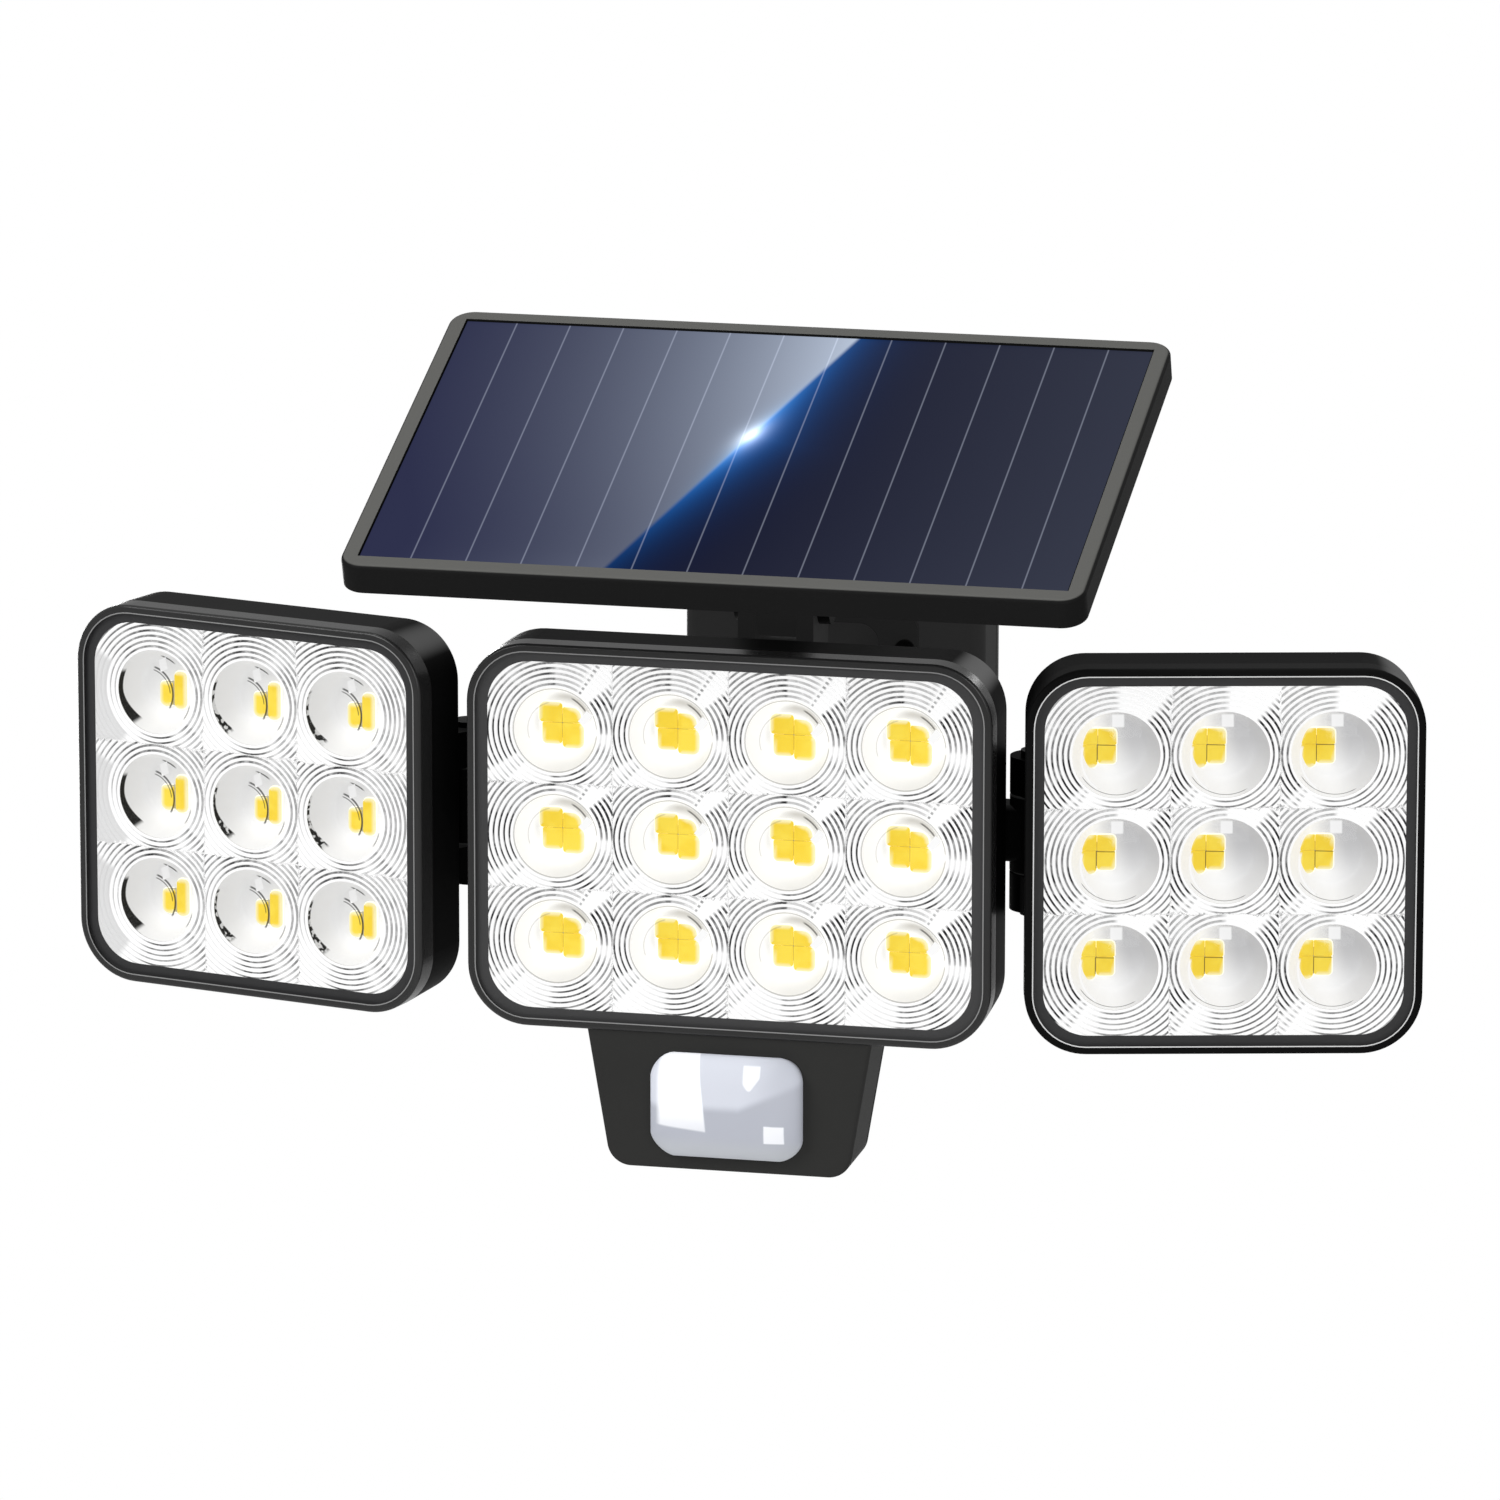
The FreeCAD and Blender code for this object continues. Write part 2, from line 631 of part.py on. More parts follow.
plate_back = size.plate_drop + size.plate_thick
reflector_front = plate_back + size.gasket_thick
board_front = reflector_front + size.bowl_deep
board_back = board_front + size.board_thick
shell_floor = size.head_deep - size.shell_back


def front_outline(sketch, head, inset, corner=None):
    """Outline of a head drawn in by a wall."""
    corner = corner or size.head_corner - inset
    rounded(sketch, head.wide - inset * 2, size.head_high - inset * 2, corner)


def make_bezel(head):
    body = new_body(head.label("bezel"), head.frame)
    sketch = facing(body, ZERO)
    front_outline(sketch, head, ZERO)
    ring = pad(body, sketch, size.bezel_deep, backwards=True)
    round_edges(body, ring, flat_at("y", ZERO), size.bezel_round)
    sketch = facing(body, ZERO)
    front_outline(sketch, head, size.lip)
    pocket(body, sketch, reflector_front)
    sketch = facing(body, ZERO)
    rounded(sketch, head.window_wide, head.window_high, size.window_corner)
    pocket(body, sketch, size.bezel_deep)
    sketch = facing(body, size.bezel_deep)
    front_outline(sketch, head, size.lip)
    pocket(body, sketch, size.bezel_deep - reflector_front - size.flange_thick, backwards=True)


def make_gasket(head):
    body = new_body(head.label("gasket"), head.frame)
    sketch = facing(body, plate_back)
    front_outline(sketch, head, size.lip + size.fit)
    inset = size.gasket_inset * 2
    corner = size.window_corner + size.gasket_inset
    rounded(sketch, head.window_wide + inset, head.window_high + inset, corner)
    pad(body, sketch, size.gasket_thick, backwards=True)


def make_lens_plate(head):
    body = new_body(head.label("lens_plate"), head.frame)
    sketch = facing(body, size.plate_drop)
    front_outline(sketch, head, size.lip + size.fit)
    pad(body, sketch, size.plate_thick, backwards=True)
    sketch = seen_from_side(body, size.plate_drop, head.first_z, head.first_x)
    dome_outline(sketch, size.dome_radius, size.dome_rise, size.plate_thick * HALF)
    dome = spin("Revolution", body, sketch)
    grid(body, [dome], head)


def cone_outline(sketch, front_radius, back_radius):
    polygon(sketch, ((ZERO, ZERO), (size.bowl_deep, ZERO),
                     (size.bowl_deep, back_radius), (ZERO, front_radius)))


def make_reflector(head):
    body = new_body(head.label("reflector"), head.frame)
    sketch = facing(body, reflector_front)
    gap = size.fit * 2
    rounded(sketch, head.window_wide - gap, head.window_high - gap, size.window_corner - size.fit)
    pad(body, sketch, size.reflector_skin, backwards=True)
    sketch = facing(body, reflector_front)
    circles(sketch, head.bosses(), size.boss_radius)
    pad(body, sketch, size.bowl_deep, backwards=True)
    sketch = facing(body, board_front)
    circles(sketch, head.bosses(), size.screw_radius + size.running_fit)
    pocket(body, sketch, size.screw_grip, backwards=True)
    sketch = seen_from_side(body, reflector_front, head.first_z, head.first_x)
    cone_outline(sketch, size.bowl_radius + size.cup_wall, size.bowl_base + size.cup_wall)
    cup = spin("Revolution", body, sketch)
    sketch = seen_from_side(body, reflector_front, head.first_z, head.first_x)
    cone_outline(sketch, size.bowl_radius, size.bowl_base)
    bowl = spin("Groove", body, sketch)
    grid(body, [cup, bowl], head)


def make_led_board(head):
    body = new_body(head.label("led_board"), head.frame)
    sketch = facing(body, board_front)
    front_outline(sketch, head, size.shell_wall + size.shell_draft + size.board_gap)
    pad(body, sketch, size.board_thick, backwards=True)
    sketch = facing(body, board_front)
    circles(sketch, head.bosses(), size.screw_radius + size.fit)
    pocket(body, sketch, size.board_thick)


def make_leds(head):
    """One light source behind each lens: a base with four chips."""
    sources = []
    base_front = board_front - size.led_base_thick
    chips_front = base_front - size.chip_thick
    chip_step = (size.chip_side + size.chip_gap) * HALF
    for column in range(int(head.columns.number)):
        for row in range(int(size.lens_count_up.number)):
            x = head.first_x + head.pitch * column
            z = head.first_z + size.pitch_side * row
            half = size.led_base * HALF
            low = (x - half, base_front, z - half)
            pieces = [block(low, (size.led_base, size.led_base_thick, size.led_base))]
            for side in (-1, 1):
                for level in (-1, 1):
                    corner_x = x + chip_step * side - size.chip_side * HALF
                    corner_z = z + chip_step * level - size.chip_side * HALF
                    lengths = (size.chip_side, size.chip_thick, size.chip_side)
                    pieces.append(block((corner_x, chips_front, corner_z), lengths))
            sources.append(fused(pieces))
    group(head.label("leds"), head.frame, sources)


def make_shell(head):
    """Lamp shell from the front ring to the back, before anything joins its back."""
    body = new_body(head.label("shell"), head.frame)
    deep = size.head_deep - size.bezel_deep
    sketch = facing(body, size.bezel_deep)
    front_outline(sketch, head, ZERO)
    outside = pad(body, sketch, deep, backwards=True)
    bind(outside, "TaperAngle", leaning_in(size.shell_draft, deep))
    round_edges(body, outside, flat_at("y", size.head_deep), size.head_edge)
    sketch = facing(body, size.bezel_deep)
    front_outline(sketch, head, size.shell_wall + size.shell_draft)
    pocket(body, sketch, deep - size.shell_back)
    sketch = facing(body, size.bezel_deep)
    front_outline(sketch, head, size.lip + size.fit)
    front_outline(sketch, head, size.lip + size.fit + size.tongue_wall)
    pad(body, sketch, size.tongue_long)
    sketch = facing(body, shell_floor)
    circles(sketch, head.bosses(), size.boss_radius)
    pad(body, sketch, shell_floor - board_back)
    sketch = facing(body, size.head_deep)
    circles(sketch, head.bosses(), size.screw_radius + size.running_fit)
    pocket(body, sketch, size.head_deep - board_back, backwards=True)
    sketch = facing(body, size.head_deep)
    circles(sketch, head.bosses(), size.screw_head + size.fit)
    pocket(body, sketch, size.screw_head_thick + size.sink_gap, backwards=True)
    return body


def make_head_screws(head):
    """Four screws from the back that pull board and reflector onto the shell."""
    seat = size.head_deep - size.sink_gap - size.screw_head_thick
    long = seat - board_front + size.screw_grip - size.turning_gap
    screws = []
    for x, z in head.bosses():
        start = (x, seat, z)
        screws.append(screw(start, "-y", size.screw_radius, long, size.screw_head,
                            size.screw_head_thick))
    group(head.label("screws"), head.frame, screws)


def make_head(head):
    make_bezel(head)
    make_gasket(head)
    make_lens_plate(head)
    make_reflector(head)
    make_led_board(head)
    make_leds(head)
    shell = make_shell(head)
    make_head_screws(head)
    return shell


# Middle lamp

center_frame = Frame((ZERO, -size.reach, ZERO))
center = Head("center", size.center_wide, size.border_center, size.lens_count_center,
              size.pitch_center, center_frame)
neck_middle = (size.neck_top - size.neck_drop) * HALF
neck_high = size.neck_top + size.neck_drop
neck_front_x = size.flange_wide_front * HALF - size.neck_screw_inset
neck_back_x = size.flange_wide_back * HALF - size.neck_screw_inset


def neck_screw_places(out):
    return [(out * x, neck_middle + size.neck_screw_rise * z) for x in (-1, 1) for z in (-1, 1)]


def make_center():
    shell = make_head(center)
    sketch = facing(shell, shell_floor)
    circles(sketch, neck_screw_places(neck_front_x), size.screw_radius + size.running_fit)
    pocket(shell, sketch, size.shell_back)
    sketch = facing(shell, shell_floor)
    circles(sketch, [(ZERO, size.wire_up)], size.wire_hole)
    pocket(shell, sketch, size.shell_back)


# Outer lamps with their swivels and arms

swivel_y = size.swivel_back - size.reach
ear_low = size.knuckle_high * HALF + size.washer_thick + size.washer_gap * 2
pin_half = ear_low + size.ear_high


def swivel_out(side):
    return size.swivel_right if side > 0 else size.swivel_left


def side_frame(side):
    """Frame of an outer lamp front, turned outwards about its swivel."""
    turn = size.swivel_angle * side
    across = size.swivel_inset * side
    x = swivel_out(side) * side + across * cosine(turn) + size.swivel_back * sine(turn)
    y = swivel_y + across * sine(turn) - size.swivel_back * cosine(turn)
    return Frame((x, y, ZERO), angle=turn)


def make_ears(shell, side):
    """Two ears on the shell's back that hold the knuckle of the arm."""
    across = -(size.swivel_inset * side)
    rim = size.knuckle_radius * side
    foot_y = size.head_deep - size.shell_back * HALF
    inner = -(size.side_wide * HALF - size.shell_draft - size.head_edge) * side
    outer = -(size.ear_foot * side)
    for level in (-1, 1):
        upward = level > 0
        sketch = seen_from_top(shell, ear_low * level)
        polygon(sketch, ((inner, foot_y), (across - rim, size.swivel_back),
                         (across + rim, size.swivel_back), (outer, foot_y)))
        pad(shell, sketch, size.ear_high, backwards=not upward)
        sketch = seen_from_top(shell, ear_low * level)
        circles(sketch, [(across, size.swivel_back)], size.knuckle_radius)
        pad(shell, sketch, size.ear_high, backwards=not upward)
    sketch = seen_from_top(shell, ZERO)
    circles(sketch, [(across, size.swivel_back)], size.pin_radius + size.running_fit)
    pocket(shell, sketch, pin_half * 2, both=True)


def make_swivel(head, side):
    """Pin and washers of a swivel, in the head's own frame."""
    across = -(size.swivel_inset * side)
    place = (across, size.swivel_back)
    shaft = cylinder(size.pin_radius, pin_half * 2, (*place, -pin_half), "z")
    top = cylinder(size.pin_head, size.pin_head_thick, (*place, pin_half), "z")
    foot = cylinder(size.pin_head, size.pin_head_thick, (*place, -pin_half), "-z")
    finish(fused([shaft, top, foot]), head.label("swivel_pin"), head.frame)
    rings = []
    for level in (-1, 1):
        low = size.knuckle_high * HALF + size.washer_gap
        start = low if level > 0 else -low - size.washer_thick
        disc = cylinder(size.washer_radius, size.washer_thick, (*place, start), "z")
        hole = cylinder(size.pin_radius + size.running_fit, size.washer_thick,
                        (*place, start), "z")
        ring = doc.addObject("Part::Cut", "ring")
        ring.Base = disc
        ring.Tool = hole
        rings.append(ring)
    group(head.label("swivel_washers"), head.frame, rings)


arm_frame = Frame((ZERO, swivel_y, ZERO))
collar_face = size.arm_boss_out + size.turning_gap
retainer_face = size.neck_wide * HALF - size.neck_wall - size.turning_gap
shaft_end = retainer_face


def make_arm(name, side):
    """Arm from the neck's socket to the swivel knuckle."""
    inward = side < 0
    body = new_body(name + "_arm", arm_frame)
    bar_start = collar_face + size.arm_flange_thick
    sketch = seen_from_side(body, ZERO, ZERO, shaft_end * side)
    circles(sketch, [(ZERO, ZERO)], size.arm_shaft)
    pad(body, sketch, bar_start - shaft_end, backwards=inward)
    sketch = seen_from_side(body, ZERO, ZERO, collar_face * side)
    circles(sketch, [(ZERO, ZERO)], size.arm_flange)
    pad(body, sketch, size.arm_flange_thick, backwards=inward)
    sketch = seen_from_side(body, ZERO, ZERO, bar_start * side)
    rounded(sketch, size.arm_deep, size.arm_high, size.arm_corner)
    pad(body, sketch, swivel_out(side) - size.pin_radius - bar_start, backwards=inward)
    sketch = seen_from_top(body, ZERO, swivel_out(side) * side)
    circles(sketch, [(ZERO, ZERO)], size.knuckle_radius)
    pad(body, sketch, size.knuckle_high, both=True)
    sketch = seen_from_top(body, ZERO, swivel_out(side) * side)
    circles(sketch, [(ZERO, ZERO)], size.pin_radius + size.running_fit)
    pocket(body, sketch, size.knuckle_high, both=True)
    sketch = seen_from_side(body, ZERO, ZERO, shaft_end * side)
    circles(sketch, [(ZERO, ZERO)], size.arm_screw + size.running_fit)
    pocket(body, sketch, size.arm_screw_long, backwards=not inward)


def make_arm_retainer(name, side):
    """Washer and screw that keep an arm's shaft in the neck."""
    outward = "x" if side > 0 else "-x"
    inward = "-x" if side > 0 else "x"
    place = (shaft_end * side, ZERO, ZERO)
    disc = cylinder(size.retainer_radius, size.retainer_thick, place, inward)
    hole = cylinder(size.arm_screw + size.running_fit, size.retainer_thick, place, inward)
    washer = doc.addObject("Part::Cut", "retainer")
    washer.Base = disc
    washer.Tool = hole
    start = ((shaft_end - size.retainer_thick) * side, ZERO, ZERO)
    long = size.arm_screw_long
    bolt = screw(start, outward, size.arm_screw, long, size.arm_screw_head,
                 size.arm_screw_head_thick)
    group(name + "_arm_retainer", arm_frame, [washer, bolt])


def make_side(name, side):
    head = Head(name, size.side_wide, size.border_side, size.lens_count_side,
                size.pitch_side, side_frame(side))
    shell = make_head(head)
    make_ears(shell, side)
    make_swivel(head, side)
    make_arm(name, side)
    make_arm_retainer(name, side)


# Wall box

wall_frame = Frame((ZERO, ZERO, ZERO))
box_rear = size.wall_plate_thick + size.seal_thick
box_floor = size.box_deep - size.box_wall
box_boss_x = size.box_wide * HALF - size.box_boss_inset
box_boss_z = size.box_high * HALF - size.box_boss_inset
box_bosses = [(box_boss_x * x, box_boss_z * z) for x in (-1, 1) for z in (-1, 1)]
box_inside_x = size.box_wide * HALF - size.box_wall
box_inside_z = size.box_high * HALF - size.box_wall
main_board_wide = (box_inside_x - size.main_board_gap) * 2
main_board_up = box_inside_z - size.main_board_top_gap - size.main_board_high * HALF
standoff_x = main_board_wide * HALF - size.standoff_inset
standoff_z = size.main_board_high * HALF - size.standoff_inset
standoffs = [(standoff_x * x, main_board_up + standoff_z * z) for x in (-1, 1) for z in (-1, 1)]
button_z = -size.button_drop
board_y = -(box_floor - size.standoff_high)


def make_wall_plate():
    body = new_body("wall_plate", wall_frame)
    sketch = facing(body, ZERO)
    rounded(sketch, size.box_wide, size.box_high, size.box_corner)
    pad(body, sketch, size.wall_plate_thick)
    sketch = facing(body, ZERO)
    rounded(sketch, size.tab_wide, size.tab_spacing + size.tab_wide, size.tab_wide * HALF - size.fit)
    pad(body, sketch, size.wall_plate_thick)
    sketch = facing(body, ZERO)
    circles(sketch, [(ZERO, size.tab_spacing * HALF), (ZERO, -size.tab_spacing * HALF)],
            size.wall_hole)
    pocket(body, sketch, size.wall_plate_thick, backwards=True)
    sketch = facing(body, ZERO)
    circles(sketch, box_bosses, size.screw_radius + size.running_fit)
    pocket(body, sketch, size.wall_plate_thick, backwards=True)
    sketch = facing(body, ZERO)
    circles(sketch, box_bosses, size.screw_head + size.fit)
    pocket(body, sketch, size.screw_head_thick + size.sink_gap, backwards=True)


def make_box_seal():
    body = new_body("box_seal", wall_frame)
    outer = size.seal_inset
    inner = size.box_wall
    sketch = facing(body, -size.wall_plate_thick)
    for inset in (outer, inner):
        rounded(sketch, size.box_wide - inset * 2, size.box_high - inset * 2,
                size.box_corner - inset)
    pad(body, sketch, size.seal_thick)


def make_box_shell():
    body = new_body("box_shell", wall_frame)
    sketch = facing(body, -box_rear)
    rounded(sketch, size.box_wide, size.box_high, size.box_corner)
    outside = pad(body, sketch, size.box_deep - box_rear)
    round_edges(body, outside, flat_at("y", -size.box_deep), size.box_edge)
    sketch = facing(body, -box_rear)
    inset = size.box_wall * 2
    rounded(sketch, size.box_wide - inset, size.box_high - inset, size.box_corner - size.box_wall)
    pocket(body, sketch, box_floor - box_rear, backwards=True)
    sketch = facing(body, -box_floor)
    circles(sketch, box_bosses, size.box_boss)
    pad(body, sketch, box_floor - size.wall_plate_thick, backwards=True)
    sketch = facing(body, -size.wall_plate_thick)
    circles(sketch, box_bosses, size.screw_radius + size.running_fit)
    pocket(body, sketch, size.screw_grip * 2, backwards=True)
    sketch = facing(body, -box_floor)
    circles(sketch, standoffs, size.standoff_radius)
    pad(body, sketch, size.standoff_high, backwards=True)
    sketch = facing(body, board_y)
    circles(sketch, standoffs, size.screw_radius + size.running_fit)
    pocket(body, sketch, size.screw_grip, backwards=True)
    sketch = facing(body, -size.box_deep)
    circles(sketch, neck_screw_places(neck_back_x), size.screw_radius + size.running_fit)
    pocket(body, sketch, size.box_wall)
    sketch = facing(body, -size.box_deep)
    circles(sketch, [(ZERO, size.wire_up)], size.wire_hole)
    pocket(body, sketch, size.box_wall)
    sketch = seen_from_side(body, -size.button_back, button_z, size.box_wide * HALF)
    circles(sketch, [(ZERO, ZERO)], size.button_radius + size.button_gap)
    pocket(body, sketch, size.box_wall)


def make_box_screws():
    seat = -(size.screw_head_thick + size.sink_gap)
    long = size.wall_plate_thick + seat + size.screw_grip
    screws = []
    for x, z in box_bosses:
        screws.append(screw((x, seat, z), "-y", size.screw_radius, long, size.screw_head,
                            size.screw_head_thick))
    group("box_screws", wall_frame, screws)


def make_neck_screws():
    """Four screws into the wall box and four from inside the middle lamp."""
    screws = []
    long = size.flange_deep + size.box_wall
    for x, z in neck_screw_places(neck_back_x):
        screws.append(screw((x, channel_start, z), "y", size.screw_radius, long,
                            size.screw_head, size.screw_head_thick))
    long = size.flange_deep + size.shell_back
    for x, z in neck_screw_places(neck_front_x):
        screws.append(screw((x, shell_floor - size.reach, z), "y", size.screw_radius, long,
                            size.screw_head, size.screw_head_thick))
    group("neck_screws", wall_frame, screws)


def make_main_board():
    body = new_body("main_board", wall_frame)
    sketch = facing(body, board_y, ZERO, main_board_up)
    rectangle(sketch, main_board_wide, size.main_board_high)
    pad(body, sketch, size.main_board_thick, backwards=True)
    sketch = facing(body, board_y)
    circles(sketch, standoffs, size.screw_radius + size.fit)
    pocket(body, sketch, size.main_board_thick)
    screws = []
    seat = board_y + size.main_board_thick
    for x, z in standoffs:
        long = size.main_board_thick + size.screw_grip - size.turning_gap
        screws.append(screw((x, seat, z), "-y", size.screw_radius, long, size.screw_head,
                            size.screw_head_thick))
    group("main_board_screws", wall_frame, screws)


def make_button():
    """Push button through the side of the wall box, and the switch behind it."""
    side = size.box_wide * HALF
    inside = box_inside_x
    place = (-size.button_back, button_z)
    cap = cylinder(size.button_radius, size.button_proud + size.box_wall,
                   (side + size.button_proud, *place), "-x")
    collar = cylinder(size.button_flange, size.button_flange_thick, (inside, *place), "-x")
    finish(fused([cap, collar]), "mode_button", wall_frame)
    end = inside - size.button_flange_thick - size.button_travel - size.turning_gap
    start = main_board_wide * HALF - size.standoff_inset
    half = size.switch_side * HALF
    low = (start - size.switch_side, board_y - size.switch_side, button_z - half)
    body = block(low, (size.switch_side, size.switch_side, size.switch_side))
    plunger = cylinder(size.screw_radius, end - start + size.switch_side,
                       (start - size.switch_side, board_y - half, button_z), "x")
    finish(fused([body, plunger]), "push_switch", wall_frame)


def make_batteries():
    """Two cells on their sides in a frame below the main board."""
    middle_y = -(box_floor + size.wall_plate_thick) * HALF
    low_z = size.holder_gap + size.holder_wall + size.turning_gap + size.battery_radius - box_inside_z
    battery_long = (box_inside_x - size.battery_end_gap) * 2
    cells = []
    for index in range(2):
        start = (-battery_long * HALF, middle_y, low_z + size.battery_spacing * index)
        cells.append(cylinder(size.battery_radius, battery_long, start, "x"))
    group("battery_cells", wall_frame, cells)
    body = new_body("battery_holder", wall_frame)
    middle_z = low_z + size.battery_spacing * HALF
    inner_wide = battery_long + size.turning_gap * 2
    inner_high = size.battery_spacing + size.battery_radius * 2 + size.turning_gap * 2
    sketch = facing(body, -box_floor, ZERO, middle_z)
    rectangle(sketch, inner_wide + size.holder_wall * 2, inner_high + size.holder_wall * 2)
    rectangle(sketch, inner_wide, inner_high)
    pad(body, sketch, size.holder_deep, backwards=True)


# Neck

channel_start = -size.box_deep - size.flange_deep
neck_front = size.head_deep - size.reach
channel_end = neck_front + size.flange_deep
channel_long = channel_start - channel_end
channel_middle = (channel_start + channel_end) * HALF
hinge_y = -size.hinge_out


def make_neck():
    body = new_body("neck", wall_frame)
    sketch = facing(body, -size.box_deep, ZERO, neck_middle)
    rounded(sketch, size.neck_wide, neck_high, size.neck_corner)
    pad(body, sketch, -size.box_deep - neck_front)
    flange_high = neck_high + size.flange_over * 2
    sketch = facing(body, -size.box_deep, ZERO, neck_middle)
    rounded(sketch, size.flange_wide_back, flange_high, size.flange_corner)
    pad(body, sketch, size.flange_deep)
    sketch = facing(body, channel_end, ZERO, neck_middle)
    rounded(sketch, size.flange_wide_front, flange_high, size.flange_corner)
    pad(body, sketch, size.flange_deep)
    sketch = seen_from_side(body, swivel_y, ZERO)
    circles(sketch, [(ZERO, ZERO)], size.arm_boss)
    pad(body, sketch, size.arm_boss_out * 2, both=True)
    ear_foot_z = size.neck_top - size.neck_wall
    sketch = seen_from_side(body, hinge_y, size.hinge_up)
    circles(sketch, [(ZERO, ZERO)], size.hinge_radius)
    pad(body, sketch, size.hinge_wide, both=True)
    sketch = seen_from_side(body, hinge_y, (ear_foot_z + size.hinge_up) * HALF)
    rectangle(sketch, size.hinge_radius * 2, size.hinge_up - ear_foot_z)
    pad(body, sketch, size.hinge_wide, both=True)
    slot_low = size.hinge_up - size.hinge_radius - size.turning_gap
    slot_high = size.hinge_up + size.hinge_radius
    sketch = seen_from_side(body, hinge_y, (slot_low + slot_high) * HALF)
    rectangle(sketch, size.hinge_radius * 2, slot_high - slot_low)
    pocket(body, sketch, size.hinge_slot, both=True)
    sketch = seen_from_side(body, hinge_y, size.hinge_up)
    circles(sketch, [(ZERO, ZERO)], size.hinge_bolt + size.running_fit)
    pocket(body, sketch, size.hinge_wide, both=True)
    sketch = seen_from_top(body, -size.neck_drop, ZERO, channel_middle)
    rectangle(sketch, size.neck_wide - size.neck_wall * 2, channel_long)
    pocket(body, sketch, neck_high - size.neck_wall, backwards=True)
    sketch = seen_from_side(body, swivel_y, ZERO)
    circles(sketch, [(ZERO, ZERO)], size.arm_shaft + size.running_fit)
    pocket(body, sketch, size.arm_boss_out * 2, both=True)
    for depth, out in ((-size.box_deep, neck_back_x), (channel_end, neck_front_x)):
        sketch = facing(body, depth)
        circles(sketch, neck_screw_places(out), size.screw_radius + size.running_fit)
        pocket(body, sketch, size.flange_deep, backwards=True)
        sketch = facing(body, depth)
        circles(sketch, [(ZERO, size.wire_up)], size.wire_hole)
        pocket(body, sketch, size.flange_deep, backwards=True)


def make_neck_cover():
    body = new_body("neck_cover", wall_frame)
    sketch = seen_from_top(body, -size.neck_drop, ZERO, channel_middle)
    gap = size.fit * 2
    rectangle(sketch, size.neck_wide - size.neck_wall * 2 - gap, channel_long - gap)
    pad(body, sketch, size.neck_cover_thick)


def make_hinge_bolt():
    half = size.hinge_wide * HALF
    place = (hinge_y, size.hinge_up)
    bolt = screw((-half, *place), "x", size.hinge_bolt, size.hinge_wide + size.nut_thick,
                 size.bolt_head, size.bolt_head_thick)
    disc = cylinder(size.bolt_head, size.nut_thick, (half, *place), "x")
    hole = cylinder(size.hinge_bolt + size.running_fit, size.nut_thick, (half, *place), "x")
    nut = doc.addObject("Part::Cut", "nut")
    nut.Base = disc
    nut.Tool = hole
    group("panel_hinge_bolt", wall_frame, [bolt, nut])


# Solar panel

panel_frame_at = Frame((ZERO, hinge_y, size.hinge_up), FreeCAD.Vector(1, 0, 0), size.panel_angle)
panel_y = -size.panel_shift
panel_low = size.panel_lift - size.panel_thick
window_wide = size.panel_wide - size.rim_side * 2
window_long = size.panel_long - size.rim_front - size.rim_back
window_y = panel_y + (size.rim_front - size.rim_back) * HALF
glass_low = size.panel_lift - size.glass_drop - size.glass_thick
cells_low = glass_low - size.cell_thick
backing_low = cells_low - size.backing_thick
stem_plate_low = panel_low - size.stem_plate_thick


def make_panel_frame():
    body = new_body("panel_frame", panel_frame_at)
    sketch = seen_from_top(body, panel_low, ZERO, panel_y)
    rounded(sketch, size.panel_wide, size.panel_long, size.panel_corner)
    outside = pad(body, sketch, size.panel_thick)
    round_edges(body, outside, flat_at("z", size.panel_lift), size.panel_edge)
    sketch = seen_from_top(body, size.panel_lift, ZERO, window_y)
    rectangle(sketch, window_wide, window_long)
    pocket(body, sketch, size.panel_lift - backing_low)
    sketch = seen_from_top(body, size.panel_lift, ZERO, window_y)
    rectangle(sketch, window_wide - size.ledge * 2, window_long - size.ledge * 2)
    pocket(body, sketch, size.panel_thick)
    sketch = seen_from_top(body, panel_low, ZERO, panel_y)
    inset = size.rim_wall * 2
    rounded(sketch, size.panel_wide - inset, size.panel_long - inset,
            size.panel_corner - size.rim_wall)
    pocket(body, sketch, size.cover_thick, backwards=True)


def make_sheet(label, low, thick):
    body = new_body(label, panel_frame_at)
    sketch = seen_from_top(body, low, ZERO, window_y)
    gap = size.glass_gap * 2
    rectangle(sketch, window_wide - gap, window_long - gap)
    pad(body, sketch, thick)


def make_cells():
    """Strips of solar cell side by side under the glass."""
    margin = size.glass_gap + size.cell_margin
    across = window_wide - margin * 2
    pitch = (across + size.cell_gap) / size.cell_count
    low_y = window_y - window_long * HALF + margin
    strips = []
    for index in range(int(size.cell_count.number)):
        low = (-across * HALF + pitch * index, low_y, cells_low)
        lengths = (pitch - size.cell_gap, window_long - margin * 2, size.cell_thick)
        strips.append(block(low, lengths))
    group("solar_cells", panel_frame_at, strips)


def make_panel_back():
    body = new_body("panel_back", panel_frame_at)
    sketch = seen_from_top(body, panel_low, ZERO, panel_y)
    inset = (size.rim_wall + size.fit) * 2
    rounded(sketch, size.panel_wide - inset, size.panel_long - inset,
            size.panel_corner - size.rim_wall - size.fit)
    pad(body, sketch, size.cover_thick)
    rib_low = panel_low + size.cover_thick
    rib_long = window_long - size.ledge * 2 - size.fit * 2
    for step in (-1, 0, 1):
        sketch = seen_from_top(body, rib_low, size.rib_spacing * step, window_y)
        rectangle(sketch, size.rib_thick, rib_long)
        pad(body, sketch, backing_low - rib_low)
    places = stem_screw_places()
    sketch = seen_from_top(body, panel_low, ZERO, panel_y)
    circles(sketch, places, size.screw_radius + size.running_fit)
    pocket(body, sketch, size.cover_thick, backwards=True)


